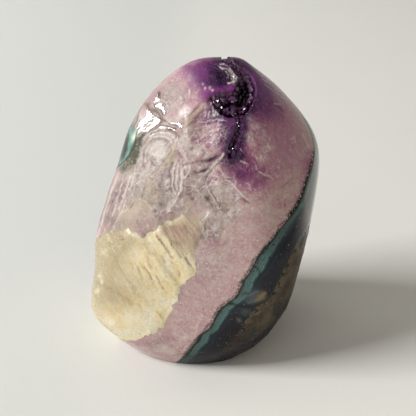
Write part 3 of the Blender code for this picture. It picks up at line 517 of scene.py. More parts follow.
# Kinds of patch that fade out past the picture's outline, where the others end at it, and between
# which amounts of facing the picture each sort of patch ends.
FADING_KINDS = ("dim", "dull", "glass", "honey", "mauve", "shade", "strip")
SHARP_END = (0.0, 0.08)
SOFT_END = (-0.7, 0.0)
MARK_SWAY = 1.0

# How far some marks stand out of the polish, in mm.
MARK_RISES = {"pale": 0.16, "cream": 0.16, "straw": 0.16, "brown": -0.16, "plum": -0.16, "ochre": -0.25}

# The fan of pale veils, which spreads from a place of the picture, and the run of the left strip.
FAN_FOCUS = np.array([240, 112])
STRIP_RUN = (-0.28, -0.2, -0.94)

# Where the quartz is broken, glassy and cracked, as (x, y, z, radius), in mm.
BROKEN_AREA = [
    (-25, -4, 84, 8), (-20, -2, 91, 6), (-22, -12, 79, 11), (-12, -14, 84, 11), (-3, -16, 87, 9),
    (-12, -20, 75, 12), (-2, -24, 73, 11), (-26, -18, 69, 9), (-16, -27, 63, 9), (4, -28, 66, 8),
    (-2, -31, 58, 6),
]

# Where the surface is a mass of tiny crystal faces, as (x, y, z, radius), in mm.
SUGAR_AREA = [
    (6.5, -4, 103, 4.0), (14, -7, 96, 6), (16, -11, 90, 7), (17, -15, 84, 7), (13, -20, 79, 6.5),
    (9, -17, 86, 4.5), (20, -18, 76, 6),
]

# Where the amethyst's purple is deeper, as (x, y, z and radius in mm, strength).
PURPLE_CLOUDS = [
    (1.1, -0.7, 104, 5.0, 0.4), (8, 8, 104, 13.0, 0.8), (-2, 8, 104, 8.0, 0.4), (22, -4, 92, 16.0, 0.10),
    (24, -14, 74, 16.0, 0.03), (-29, -34, 12, 4.5, 0.22), (1, -33, 53, 3.0, 0.2),
    (-12, -35.5, 40, 5.0, 0.12), (-18, -36, 14, 5.0, 0.04),
]

# How wide the green band is, and how far past the wall the basalt starts, as (height, mm).
GREEN_WIDTH = [
    (0, 2.8), (14, 3.0), (20, 2.2), (29, 2.9), (33, 3.1), (40, 2.8), (46, 3.8), (58, 4.4), (75, 5.0),
]
BASALT_START = [
    (0, 12), (10, 12.8), (17, 11.8), (24, 10.4), (27, 11.4), (31, 13.0), (36, 13.0), (44, 14.6), (49, 17),
    (54, 28), (110, 28),
]
BASALT_START_BEHIND = 10.5
BEHIND = (2 * MM, 16 * MM)

# Relief of the basalt, in mm: how far it is sunk, how deep its pits and waves are.
BASALT_SUNK = 0.15
BASALT_PITS = 0.6
BASALT_WAVES = 0.2

# The camera, how wide one pixel of its picture is at a distance of 1, and where and how often a
# ray through a pixel looks for the stone.
CAMERA_TARGET = np.array([-2.6, 0, 50.1]) * MM
CAMERA_DISTANCE = 0.3013
CAMERA_TILT = math.radians(27)
CAMERA_ANGLE = math.radians(30)
CAMERA_AHEAD = np.array([0, math.cos(CAMERA_TILT), -math.sin(CAMERA_TILT)])
CAMERA_ABOVE = np.array([0, math.sin(CAMERA_TILT), math.cos(CAMERA_TILT)])
CAMERA_PLACE = CAMERA_TARGET - CAMERA_AHEAD * CAMERA_DISTANCE
PICTURE_SIZE = 416
PIXEL_SPREAD = math.tan(CAMERA_ANGLE / 2) * 2 / PICTURE_SIZE
RAY_START = 0.15
RAY_ROUNDS = 80

# The crust of small crystals in the cleft: how many, what share of them sits in the main arm, how
# far round its walls, how far they lean outwards and at random, and their sizes in mm.
CRYSTAL_SEED = 11
CRYSTAL_SIDES = 6
CRYSTAL_COUNT = 1100
CRYSTAL_MAIN_SHARE = 0.8
CRYSTAL_SPREAD = 1.25
CRYSTAL_LEAN = 0.35
CRYSTAL_SCATTER = 0.45
CRYSTAL_SEAT = 0.5 * MM
CRYSTAL_RADIUS = 0.2
CRYSTAL_RADIUS_MORE = 0.9
CRYSTAL_LENGTHS = (1.4, 2.2)
CRYSTAL_SUNK = -0.1 * MM
BRIGHT_LENGTH = 1.2 * MM

# Blunt crystals of the cleft that mirror the window: (x, y, z, radius, how deep it sits), in mm.
BRIGHT_CRYSTALS = [
    (9.5, -3.7, 101.8, 0.55, 1.2), (8.8, -3.0, 102.6, 0.25, 1.0), (10.6, -10.4, 94.6, 0.45, 0.9),
    (13.2, -6.0, 98.5, 0.35, 0.9), (2.2, -10.8, 95.2, 0.35, 1.2), (0.9, -9.2, 97.0, 0.4, 0.8),
    (6.2, -9.2, 97.0, 0.2, 1.6), (8.4, -14.6, 89.6, 0.2, 0.7), (6.2, -19.4, 83.0, 0.25, 0.7),
]

# The pale floor and the backdrop that it curves up into.
FLOOR_SIDE = 3.5
FLOOR_FRONT = -3.0
FLOOR_BACK = 0.7
BACKDROP_CURVE = 0.3
BACKDROP_TOP = 1.6
BACKDROP_STEPS = 14


def facing(turn, tilt=0.0):
    """Unit vector that faces turn degrees from the front towards the right, tilted up."""
    turn, tilt = math.radians(turn), math.radians(tilt)
    return np.array([math.sin(turn) * math.cos(tilt), -math.cos(turn) * math.cos(tilt), math.sin(tilt)])


def ground_form(points):
    """How far each point is outside the ground faces, with their edges rounded off."""
    normals = np.array([facing(turn, tilt) for _, turn, tilt, _ in GROUND_FACES])
    offsets = np.array([offset * MM for *_, offset in GROUND_FACES])
    steps = (points @ normals.T - offsets) / EDGE_SOFTNESS
    highest = steps.max(axis=-1)
    return EDGE_SOFTNESS * (highest + np.log(np.exp(steps - highest[..., None]).sum(axis=-1)))


def blobs(points, places):
    """Sum of soft round blobs, each given as (x, y, z and radius in mm, strength)."""
    total = np.zeros(points.shape[:-1])
    for *place, radius, strength in places:
        away = np.linalg.norm(points - np.array(place) * MM, axis=-1) / (radius * MM)
        total += strength * np.exp(-away ** 2)
    return total


def smooth_form(points):
    return ground_form(points) - blobs(points, SWELLINGS) * MM


def outward(points, field, step=0.2 * MM):
    """Unit gradient of a field, which points out of the stone."""
    slopes = [field(points + step * axis) - field(points - step * axis) for axis in np.eye(3)]
    gradient = np.stack(slopes, axis=-1)
    return gradient / np.linalg.norm(gradient, axis=-1, keepdims=True)


def drop_to_surface(points, field=smooth_form, rounds=12):
    """Moves points straight onto the surface where the field is zero."""
    for _ in range(rounds):
        points = points - outward(points, field) * field(points)[..., None]
    return points


def scoop(x, y, z, radius, depth, lean_x=0, lean_z=0):
    """Centre, radius and stretch of the ball that scoops one hollow of that size out of the skin."""
    foot = drop_to_surface(np.array([[x, y, z]]) * MM)[0]
    ball = (radius ** 2 + depth ** 2) / (2 * depth) * MM
    direction = outward(foot[None], smooth_form)[0] + np.array([lean_x, 0, lean_z])
    return foot + direction / np.linalg.norm(direction) * (ball - depth * MM), ball, np.ones(3)


def arm_path(arm):
    """Points and depths along one arm of the cleft, on the smooth form."""
    stations = np.array(arm) * MM
    along = np.linspace(0, len(stations) - 1, ARM_POINTS)
    route = np.stack([np.interp(along, range(len(stations)), column) for column in stations.T], axis=-1)
    return drop_to_surface(route[:, :3]), route[:, 3]


ARM_PATHS = [arm_path(arm) for arm in CLEFT_ARMS]
CLEFT_BALLS = [ball for path in ARM_PATHS for ball in zip(*path)]


def cleft_distance(points):
    """How far each point is outside the cleft's nearest hollow."""
    nearest = np.full(len(points), np.inf)
    for centre, depth in CLEFT_BALLS:
        away = np.linalg.norm((points - centre) * CLEFT_SQUASH, axis=1)
        nearest = np.minimum(nearest, (away - depth) / CLEFT_NARROWING)
    return np.maximum(nearest, 0)


def smoothstep(low, high, values):
    part = np.clip((values - low) / (high - low), 0, 1)
    return part * part * (3 - 2 * part)


def area_mask(points, area):
    """1 inside an area of balls, and falls softly to 0 at its rim."""
    mask = np.zeros(points.shape[:-1])
    for *place, radius in area:
        away = np.linalg.norm(points - np.array(place) * MM, axis=-1) / (radius * MM)
        mask = np.maximum(mask, 1 - smoothstep(0.55, 1.0, away))
    return mask


def noise_field(points, size, octaves=4, shift=0.0):
    """Fractal noise around 0, whose largest features have the given size in mm."""
    scaled = points / (size * MM) + shift
    return np.array([noise.fractal(place, 1.0, 2.0, octaves) for place in scaled])


def in_picture(points):
    """Where each point is seen in the front picture, right and down, and how much it faces it."""
    side = points - CAMERA_PLACE
    scale = 1 / PIXEL_SPREAD / (side @ CAMERA_AHEAD)
    seen = np.stack([side[:, 0] * scale, -(side @ CAMERA_ABOVE) * scale], axis=-1) + PICTURE_SIZE / 2
    return seen, -(outward(points, smooth_form) * side).sum(axis=1) / np.linalg.norm(side, axis=1)


def swayed(seen, points):
    """Places in the picture, moved a little so that drawn marks get ragged."""
    sway = [noise_field(points, 2.2, 3, shift) for shift in (1.0, 2.0)]
    return seen + np.stack(sway, axis=-1) * MARK_SWAY


def from_edge(seen, start, end):
    """Distance of each place of the picture from the edge between two corners."""
    side = end - start
    part = np.clip(((seen - start) @ side) / (side @ side), 0, 1)
    return np.linalg.norm(seen - start - part[:, None] * side, axis=1)


def near_lines(seen, lines):
    """How close each place of the picture is to lines, each given as in the tables."""
    near = np.zeros(len(seen))
    for width, strength, *corners in lines:
        route = np.reshape(corners, (-1, 2)).astype(float)
        reach = 3 * width
        inside = ((seen > route.min(axis=0) - reach) & (seen < route.max(axis=0) + reach)).all(axis=1)
        places = seen[inside]
        away = np.full(len(places), reach)
        for start, end in zip(route, route[1:]):
            away = np.minimum(away, from_edge(places, start, end))
        near[inside] = np.maximum(near[inside], strength * np.exp(-(away / width) ** 2))
    return near


def on_patches(seen, patches):
    """Sum of the soft patches on each place of the picture."""
    total = np.zeros(len(seen))
    for x, y, half_width, half_height, turn, strength in patches:
        turn = math.radians(turn)
        side = seen - (x, y)
        across = (side[:, 0] * math.cos(turn) + side[:, 1] * math.sin(turn)) / half_width
        down = (side[:, 1] * math.cos(turn) - side[:, 0] * math.sin(turn)) / half_height
        total += strength * np.exp(-across ** 2 - down ** 2)
    return total


def inside_outline(seen, corners):
    """How far each place is inside an outline, or less than 0 outside it."""
    corners = np.array(corners, dtype=float)
    nearest = np.full(len(seen), np.inf)
    inside = np.zeros(len(seen), dtype=bool)
    for start, end in zip(corners, np.roll(corners, -1, axis=0)):
        side = end - start
        nearest = np.minimum(nearest, from_edge(seen, start, end))
        crosses = (start[1] > seen[:, 1]) != (end[1] > seen[:, 1])
        at = start[0] + (seen[:, 1] - start[1]) * side[0] / (side[1] if side[1] else 1)
        inside ^= crosses & (seen[:, 0] < at)
    return np.where(inside, nearest, -nearest)


def mirror_outlines():
    """How far sunk, and the outline, of every face that mirrors the window."""
    tiny = [(0, x - r, y, x, y - r, x + r, y, x, y + r) for x, y, r in GLINTS]
    return [(sunk, np.reshape(corners, (-1, 2))) for sunk, *corners in MIRRORS + tiny]


def marks(points):
    """The drawn marks on each point: a strength for every kind of mark."""
    seen, towards = in_picture(points)
    seen = swayed(seen, points)
    sharp, soft = smoothstep(*SHARP_END, towards), smoothstep(*SOFT_END, towards)
    strengths = {}
    for kind in sorted(set(LINES) | set(PATCHES)):
        patches = on_patches(seen, PATCHES.get(kind, [])) * (soft if kind in FADING_KINDS else sharp)
        strengths[kind] = near_lines(seen, LINES.get(kind, [])) * sharp + patches
    return strengths


def polish(points):
    """1 on the chips that mirror the window, and falls to 0 at their rims and scratches."""
    seen, towards = in_picture(points)
    seen = swayed(seen, points)
    inside = [inside_outline(seen, corners) for _, corners in mirror_outlines()]
    whole = 1 - near_lines(seen, SCRATCHES)
    return smoothstep(-0.3, 0.7, np.max(inside, axis=0)) * smoothstep(*SHARP_END, towards) * whole


def skin_rays():
    """Directions from the stone's heart that space points evenly over it, and their triangles."""
    ball = bmesh.new()
    bmesh.ops.create_icosphere(ball, subdivisions=SKIN_SUBDIVISIONS, radius=1)
    rays = np.array([vertex.co for vertex in ball.verts]) * SKIN_STRETCH
    triangles = [[vertex.index for vertex in face.verts] for face in ball.faces]
    ball.free()
    return rays / np.linalg.norm(rays, axis=1, keepdims=True), triangles


def bent(rays):
    """The rays, bent by a smooth noise, so that hollows get ragged rims."""
    sway = [noise_field(rays * RIM_DISTANCE, RIM_WIDTH, 2, shift) for shift in (11.0, 12.0, 13.0)]
    return rays + np.stack(sway, axis=-1) * RIM_SWAY


def carve(reach, rays, hollow):
    """Shortens the reach of every ray that comes out of the stone inside the hollow."""
    centre, radius, squash = hollow
    start, along = (HEART - centre) * squash, rays * squash
    length = (along ** 2).sum(axis=1)
    slope = along @ start
    root = slope ** 2 - length * (start @ start - radius ** 2)
    half = np.sqrt(np.maximum(root, 0))
    enter, leave = (-slope - half) / length, (-slope + half) / length
    return np.where((root > 0) & (enter < reach) & (leave > reach), enter, reach)


def skin_reach(rays):
    """Distance from the stone's heart to the polished, chipped and cleft skin along each ray."""
    reach = np.full(len(rays), SKIN_START)
    for _ in range(SKIN_STEPS):
        reach = reach - smooth_form(HEART + rays * reach[:, None])
    hollows = [scoop(*hollow) for hollow in CHIP_SCARS + VESICLES]
    hollows += [(centre, depth, CLEFT_SQUASH) for centre, depth in CLEFT_BALLS]
    ragged = bent(rays)
    for _ in range(CARVE_ROUNDS):
        for hollow in hollows:
            reach = carve(reach, ragged, hollow)
    to_floor = np.where(rays[:, 2] < 0, HEART[2] / np.maximum(-rays[:, 2], 1e-6), 1)
    return np.minimum(reach, to_floor)


def ease_between(heights, values, height):
    """Smooth curve through the values at the given heights."""
    slopes = np.gradient(values, heights)
    high = np.clip(np.searchsorted(heights, height), 1, len(heights) - 1)
    low = high - 1
    span = heights[high] - heights[low]
    part = (height - heights[low]) / span
    rise = part * part * (3 - 2 * part)
    lead = slopes[low] * span * part * (1 - part) ** 2
    trail = slopes[high] * span * part * part * (part - 1)
    return values[low] + (values[high] - values[low]) * rise + lead + trail


def on_stone(places):
    """Points of the smooth form that are seen at places of the front picture."""
    aside = (np.array(places) - PICTURE_SIZE / 2) * PIXEL_SPREAD
    rays = CAMERA_AHEAD + aside[:, :1] * np.array([1, 0, 0]) - aside[:, 1:] * CAMERA_ABOVE
    rays /= np.linalg.norm(rays, axis=1, keepdims=True)
    points = CAMERA_PLACE + rays * RAY_START
    for _ in range(RAY_ROUNDS):
        points = points + rays * smooth_form(points)[:, None]
    return points


def front_line():
    """The wall's front right end, from low to high."""
    places = np.concatenate([on_stone(WALL_FRONT_SEEN), np.array(WALL_FRONT_HIDDEN) * MM])
    return places[np.argsort(places[:, 2])]


WALL_FRONT = front_line()


def wall_line(height):
    """Start, run, direction towards the rind and bow of the geode's wall at each height."""
    levels = np.array(WALL_BACK, dtype=float).T * MM
    start = np.stack([np.interp(height, WALL_FRONT[:, 2], WALL_FRONT[:, axis]) for axis in (0, 1)], axis=-1)
    back_x, back_y, bow = [ease_between(levels[0], column, height) for column in levels[1:]]
    run = np.stack([back_x, back_y], axis=-1) - start
    towards_rind = np.stack([run[..., 1], -run[..., 0]], axis=-1)
    return start, run, towards_rind / np.linalg.norm(run, axis=-1, keepdims=True), bow


def wall_sheet(height, part, shift=0.0):
    """Points of the geode's wall at a height, along its line from front right (0) to back left (1)."""
    start, run, towards_rind, bow = wall_line(height)
    bulge = bow * np.cos(math.pi * (part - 0.5)) + shift
    return start + run * part[..., None] + towards_rind * bulge[..., None]


def beyond_wall(points):
    """Distance of each point past the geode's wall, into the rind, or less than 0 in the quartz."""
    height = np.clip(points[..., 2], WALL_BACK[0][0] * MM, WALL_BACK[-1][0] * MM)
    start, run, towards_rind, _ = wall_line(height)
    flat = points[..., :2]
    part = ((flat - start) * run).sum(axis=-1) / (run ** 2).sum(axis=-1)
    return ((flat - wall_sheet(height, part)) * towards_rind).sum(axis=-1)


def basalt_start(points):
    """How far past the wall the basalt starts, which is nearer to it behind the stone."""
    heights, starts = np.array(BASALT_START, dtype=float).T
    start = np.interp(points[:, 2] / MM, heights, starts)
    return (start + (BASALT_START_BEHIND - start) * smoothstep(*BEHIND, points[:, 1])) * MM


def linked(name, data):
    """A new object of the scene."""
    obj = bpy.data.objects.new(name, data)
    bpy.context.scene.collection.objects.link(obj)
    return obj


def link_mesh(name, mesh):
    """Links a bmesh to the scene as an object, outside faces outwards."""
    bmesh.ops.recalc_face_normals(mesh, faces=mesh.faces)
    data = bpy.data.meshes.new(name)
    mesh.to_mesh(data)
    mesh.free()
    return linked(name, data)


def wall_cutter(name, shift):
    """Closed body of everything behind the geode's wall."""
    mesh = bmesh.new()
    heights = np.linspace(WALL_BACK[0][0], WALL_BACK[-1][0], WALL_ROWS) * MM
    parts = np.linspace(-WALL_OVERRUN, 1 + WALL_OVERRUN, WALL_COLUMNS)
    grid = []
    for height in heights:
        places = wall_sheet(np.full(WALL_COLUMNS, height), parts, shift)
        grid.append([mesh.verts.new((*place, height)) for place in places])
    for low, high in zip(grid, grid[1:]):
        for column in range(WALL_COLUMNS - 1):
            mesh.faces.new((low[column], low[column + 1], high[column + 1]))
            mesh.faces.new((low[column], high[column + 1], high[column]))
    pushed = bmesh.ops.extrude_face_region(mesh, geom=list(mesh.faces))
    moved = [item for item in pushed["geom"] if isinstance(item, bmesh.types.BMVert)]
    bmesh.ops.translate(mesh, verts=moved, vec=RIND_SIDE)
    return link_mesh(name, mesh)


# The calcite's own directions, and those across and along its ledges.
OUTWARDS = facing(CALCITE_TURN)
UP = np.array([0.0, 0.0, 1.0])
ACROSS = np.cross(UP, OUTWARDS)
DIP = math.radians(LEDGE_DIP)
STEPPING = ACROSS * math.sin(DIP) + UP * math.cos(DIP)
ALONG = ACROSS * math.cos(DIP) - UP * math.sin(DIP)


def ragged_outline():
    """The calcite's outline with small irregular teeth, in metres."""
    corners = np.array(CALCITE_OUTLINE, dtype=float)
    ragged = []
    for start, end in zip(corners, np.roll(corners, -1, axis=0)):
        length = np.linalg.norm(end - start)
        aside = np.array([end[1] - start[1], start[0] - end[0]]) / length
        steps = max(1, round(length / TOOTH_SPACING))
        for step in range(steps):
            place = start + (end - start) * step / steps
            tooth = noise.fractal((place[0] / 2.2, place[1] / 2.2, 3.0), 0.8, 2.0, 4)
            ragged.append(place + aside * tooth)
    return np.array(ragged) * MM


def calcite_prism(name, swell):
    """The calcite's sides and inner end, as a tapered prism that reaches out past the skin."""
    outline = ragged_outline()
    middle = outline.mean(axis=0)
    spokes = outline - middle
    grown = outline + spokes / np.linalg.norm(spokes, axis=1, keepdims=True) * swell
    mesh = bmesh.new()
    rings = []
    for depth, size in ((CALCITE_FRONT, 1.0), (CALCITE_BRIM, 1.0), (CALCITE_BACK - swell, CALCITE_TAPER)):
        corners = middle + (grown - middle) * size
        rings.append([mesh.verts.new(ACROSS * x + UP * y + OUTWARDS * depth) for x, y in corners])
    mesh.faces.new(rings[0])
    mesh.faces.new(rings[-1])
    for outer, inner in zip(rings, rings[1:]):
        for corner in range(len(outline)):
            before = corner - 1
            mesh.faces.new((outer[before], outer[corner], inner[corner], inner[before]))
    bmesh.ops.triangulate(mesh, faces=mesh.faces)
    return link_mesh(name, mesh)


def calcite_inside(points):
    """How far each point is inside the calcite's outline, seen along its own direction, in metres."""
    seen = np.stack([points @ ACROSS, points @ UP], axis=-1)
    signed = inside_outline(seen, np.array(CALCITE_OUTLINE, dtype=float) * MM)
    return np.where(points @ OUTWARDS > 0, signed, -1)


def calcite_relief(points):
    """Cleavage ledges of the calcite: the main ones, then short steps and finer ones between them."""
    distance = points @ STEPPING + noise_field(points, 9, 3) * LEDGE_WANDER
    height = np.full(len(points), LEDGE_START * MM)
    for line, rise in LEDGES:
        height += LEDGE_SHARE * rise * MM * smoothstep(0, 1, (distance - line * MM) / LEDGE_RAMP)
    stretched = np.stack([distance, points @ ALONG, points @ OUTWARDS], axis=-1) / TERRACE_LENGTHS
    fine = np.array([noise.fractal(place, 0.7, 2.1, 5) for place in stretched / MM])
    terraces = fine - np.round(fine * TERRACE_STEPS) / TERRACE_STEPS * TERRACE_SHARE
    rough = smoothstep(-0.1, 0.5, noise_field(points, 12, 2, 4.0) + (distance - 26 * MM) / (30 * MM))
    height += terraces * (0.12 + 0.65 * rough) * MM + noise_field(points, 1.6, 4, 7.0) * 0.06 * MM
    return height * smoothstep(-0.2 * MM, 1.5 * MM, calcite_inside(points))


def facet_relief(points, size, depth):
    """Steps between tiny flat faces, each tilted its own way, that are size mm across."""
    heights = np.empty(len(points))
    for index, place in enumerate(points / (size * MM)):
        _, centres = noise.voronoi(place)
        tilt = noise.cell_vector(centres[0] * 7.3) - Vector((0.5, 0.5, 0.5))
        heights[index] = (Vector(place) - centres[0]).dot(tilt) + 0.5 * tilt.x
    return heights * depth * MM


def mirror_relief(points, normals):
    """How far each point moves outwards to lie on the flat of its mirroring chip, and where it does."""
    seen, towards = in_picture(points)
    facing_camera = towards > 0.04
    flat = facing(*MIRROR_FACING)
    height, share = np.zeros((2, len(points)))
    for sunk, corners in mirror_outlines():
        middle = np.mean(corners, axis=0)
        away = np.where(facing_camera, np.linalg.norm(seen - middle, axis=1), np.inf)
        level = points[np.argmin(away)] @ flat - sunk * MM
        inside = smoothstep(-0.4, 0.6, inside_outline(seen, corners)) * facing_camera
        reach = np.clip((level - points @ flat) / np.maximum(normals @ flat, 0.5), *MIRROR_MOVES)
        height += reach * inside
        share += inside
    return height, np.minimum(share, 1)


def rind_relief(points, past):
    """Polish relief of the rind: soft basalt sunk a little and pitted, harder bands left proud."""
    basalt = smoothstep(-0.5 * MM, 0.5 * MM, past - basalt_start(points))
    pits = np.minimum(noise_field(points, 1.7, 3, 9.0) + 0.25, 0)
    waves = noise_field(points, 5, 3, 3.0)
    return (basalt * (pits * BASALT_PITS + waves * BASALT_WAVES - BASALT_SUNK)) * MM


def relief(points, normals):
    """Fine relief of the whole skin, as the height in metres that each point is moved outwards."""
    past = beyond_wall(points)
    calcite = calcite_inside(points)
    quartz = (past < 0.5 * MM) & (calcite < 0.2 * MM)
    height = noise_field(points, 14, 2) * 0.10 * MM
    broken = area_mask(points, BROKEN_AREA)
    where = (broken > 0) & quartz
    height[where] += broken[where] * (noise_field(points[where], 5.0, 4, 5.0) * 0.28 * MM)
    sugar = area_mask(points, SUGAR_AREA)
    where = (sugar > 0) & quartz
    height[where] += sugar[where] * facet_relief(points[where], 1.6, 0.35)
    drawn = marks(points)
    height += sum(drawn[kind] * rise for kind, rise in MARK_RISES.items()) * MM
    chip, share = mirror_relief(points, normals)
    height += (chip - height) * share
    where = calcite > -0.3 * MM
    height[where] += calcite_relief(points[where])
    where = past > 0
    height[where] += rind_relief(points[where], past[where])
    return height * smoothstep(0, 2 * MM, points[:, 2])


def vectors(items, name):
    """The vectors of a mesh's points, a row for each."""
    values = np.empty(len(items) * 3, np.float32)
    items.foreach_get(name, values)
    return values.reshape(-1, 3).astype(float)


def build_skin():
    """Mesh of the whole block's skin, with all its relief."""
    rays, triangles = skin_rays()
    points = HEART + rays * skin_reach(rays)[:, None]
    data = bpy.data.meshes.new("block skin")
    data.from_pydata(points, [], triangles)
    normals = vectors(data.vertex_normals, "vector")
    points = points + normals * relief(points, normals)[:, None]
    points[:, 2] = np.maximum(points[:, 2], 0)
    data.vertices.foreach_set("co", points.astype(np.float32).ravel())
    data.update()
    return data


def cut_piece(name, skin, steps, sharp_angle):
    """A piece of the block: the skin's body after the given (operation, cutter) steps."""
    raw = linked(name + " uncut", skin)
    for operation, cutter in steps:
        step = raw.modifiers.new(operation.lower(), "BOOLEAN")
        step.operation = operation
        step.solver = "MANIFOLD"
        step.object = cutter
    shape = raw.evaluated_get(bpy.context.evaluated_depsgraph_get())
    data = bpy.data.meshes.new_from_object(shape)
    bpy.data.objects.remove(raw)
    data.name = name
    data.shade_smooth()
    data.set_sharp_from_angle(angle=math.radians(sharp_angle))
    return linked(name, data)


def depth_of(points):
    """How deep each point is below the smooth form, in mm."""
    return np.maximum(-smooth_form(points), 0) / MM


def store(data, name, values):
    attribute = data.attributes.new(name, "FLOAT", "POINT")
    attribute.data.foreach_set("value", np.asarray(values, np.float32))


def store_zones(piece):
    """Writes onto a piece's points the fields that its colours follow."""
    points = vectors(piece.data.vertices, "co")
    past = beyond_wall(points)
    heights, widths = np.array(GREEN_WIDTH, dtype=float).T
    near = np.exp(-(cleft_distance(points) / CLEFT_GLOOM_REACH) ** 2)
    seen, _ = in_picture(points)
    side = seen - FAN_FOCUS
    fields = {
        "past_wall": past / MM,
        "green_band": past / MM / np.interp(points[:, 2] / MM, heights, widths),
        "basalt": (past - basalt_start(points)) / MM,
        # Purple clouds, and deeper purple round the cleft's rim, which is partly painted shade at the hollow.
        "purple": blobs(points, PURPLE_CLOUDS) + CLEFT_GLOOM * near,
        "fan_turn": np.arctan2(side[:, 1], -side[:, 0]),
        "fan_reach": np.linalg.norm(side, axis=1),
        "polish": polish(points),
        "broken": area_mask(points, BROKEN_AREA),
        "sugar": area_mask(points, SUGAR_AREA),
        "calcite": calcite_inside(points) / MM,
        "depth": depth_of(points),
    }
    for name, values in (fields | marks(points)).items():
        store(piece.data, name, values)


class Recipe:
    """A node material, put together by short calls."""

    def __init__(self, name):
        self.material = bpy.data.materials.new(name)
        self.material.use_nodes = True
        self.tree = self.material.node_tree
        self.shader = self.tree.nodes["Principled BSDF"]
        self.place = self.tree.nodes.new("ShaderNodeTexCoord").outputs["Object"]

    def feed(self, socket, value):
        if isinstance(value, bpy.types.NodeSocket):
            self.tree.links.new(value, socket)
        elif socket.type == "RGBA":
            socket.default_value = (*value, 1)
        else:
            socket.default_value = value

    def add(self, kind, inputs, **settings):
        node = self.tree.nodes.new("ShaderNode" + kind)
        for setting, value in settings.items():
            setattr(node, setting, value)
        for socket, value in inputs.items():
            self.feed(node.inputs[socket], value)
        return node.outputs

    def field(self, name):
        return self.add("Attribute", {}, attribute_name=name)["Fac"]

    def math(self, operation, *values, clamp=False):
        return self.add("Math", dict(enumerate(values)), operation=operation, use_clamp=clamp)[0]

    def plus(self, *values, clamp=False):
        return self.math("ADD", *values, clamp=clamp)

    def times(self, *values, clamp=False):
        return self.math("MULTIPLY", *values, clamp=clamp)

    def vector(self, operation, first, second, name=1, output=0):
        return self.add("VectorMath", {0: first, name: second}, operation=operation)[output]

    def mix(self, share, first, second):
        return self.add("Mix", {0: share, 6: first, 7: second}, data_type="RGBA")[2]

    def range(self, value, low, high, first=0.0, second=1.0, kind="SMOOTHSTEP"):
        inputs = {"Value": value, "From Min": low, "From Max": high, "To Min": first, "To Max": second}
        return self.add("MapRange", inputs, interpolation_type=kind)["Result"]

    def centred(self, value, height):
        """A value between 0 and 1 turned into one between minus and plus half the height."""
        return self.math("MULTIPLY_ADD", value, height, -0.5 * height)

    def noise(self, size, detail=4.0, roughness=0.55, distortion=0.0, place=None, output="Fac"):
        """Noise between 0 and 1, whose largest features have the given size in mm."""
        inputs = {
            "Vector": place or self.place,
            "Scale": 1000 / size,
            "Detail": detail,
            "Roughness": roughness,
            "Distortion": distortion,
        }
        return self.add("TexNoise", inputs)[output]

    def grains(self, size, feature="F1", output="Distance", place=None):
        """Cells of the given size in mm."""
        inputs = {"Vector": place or self.place, "Scale": 1000 / size}
        return self.add("TexVoronoi", inputs, feature=feature)[output]

    def warped(self, size, amount):
        """The place, pushed about by noise of the given size, by an amount in mm."""
        push = self.noise(size, 3.0, 0.5, output="Color")
        push = self.vector("ADD", push, (-0.5, -0.5, -0.5))
        push = self.vector("SCALE", push, 2 * amount * MM, "Scale")
        return self.vector("ADD", self.place, push)

    def stretched(self, along, stretch):
        """The place, squeezed along a direction so that noise is stretched that way."""
        along = Vector(along).normalized()
        side = along.orthogonal().normalized()
        axes = (along / stretch, side, along.cross(side))
        parts = [self.vector("DOT_PRODUCT", self.place, axis, output="Value") for axis in axes]
        return self.add("CombineXYZ", dict(enumerate(parts)))[0]

    def ramp(self, value, stops):
        """Colours along a value, each given as (value, colour)."""
        node = self.tree.nodes.new("ShaderNodeValToRGB")
        low, high = stops[0][0], stops[-1][0]
        self.feed(node.inputs[0], self.range(value, low, high, kind="LINEAR"))
        elements = node.color_ramp.elements
        for index, (at, colour) in enumerate(stops):
            part = (at - low) / (high - low)
            element = elements[index] if index < 2 else elements.new(part)
            element.position = part
            element.color = (*colour, 1)
        return node.outputs["Color"]

    def bump(self, height, depth):
        """Normal that shows a height between 0 and 1 as relief of that depth in mm."""
        return self.add("Bump", {"Height": height, "Distance": depth * MM, "Strength": 1.0})["Normal"]

    def marked(self, colour, kinds, breakup):
        """The colour with the drawn marks of some kinds on it, which the breakup thins out."""
        for kind in kinds.split():
            share = self.times(self.field(kind), breakup, clamp=True)
            colour = self.mix(share, colour, MARK_COLOURS[kind])
        return colour

    def finish(self, **inputs):
        for name, value in inputs.items():
            socket = name.replace("_", " ").title().replace("Ior", "IOR")
            self.feed(self.shader.inputs[socket], value)
        return self.material


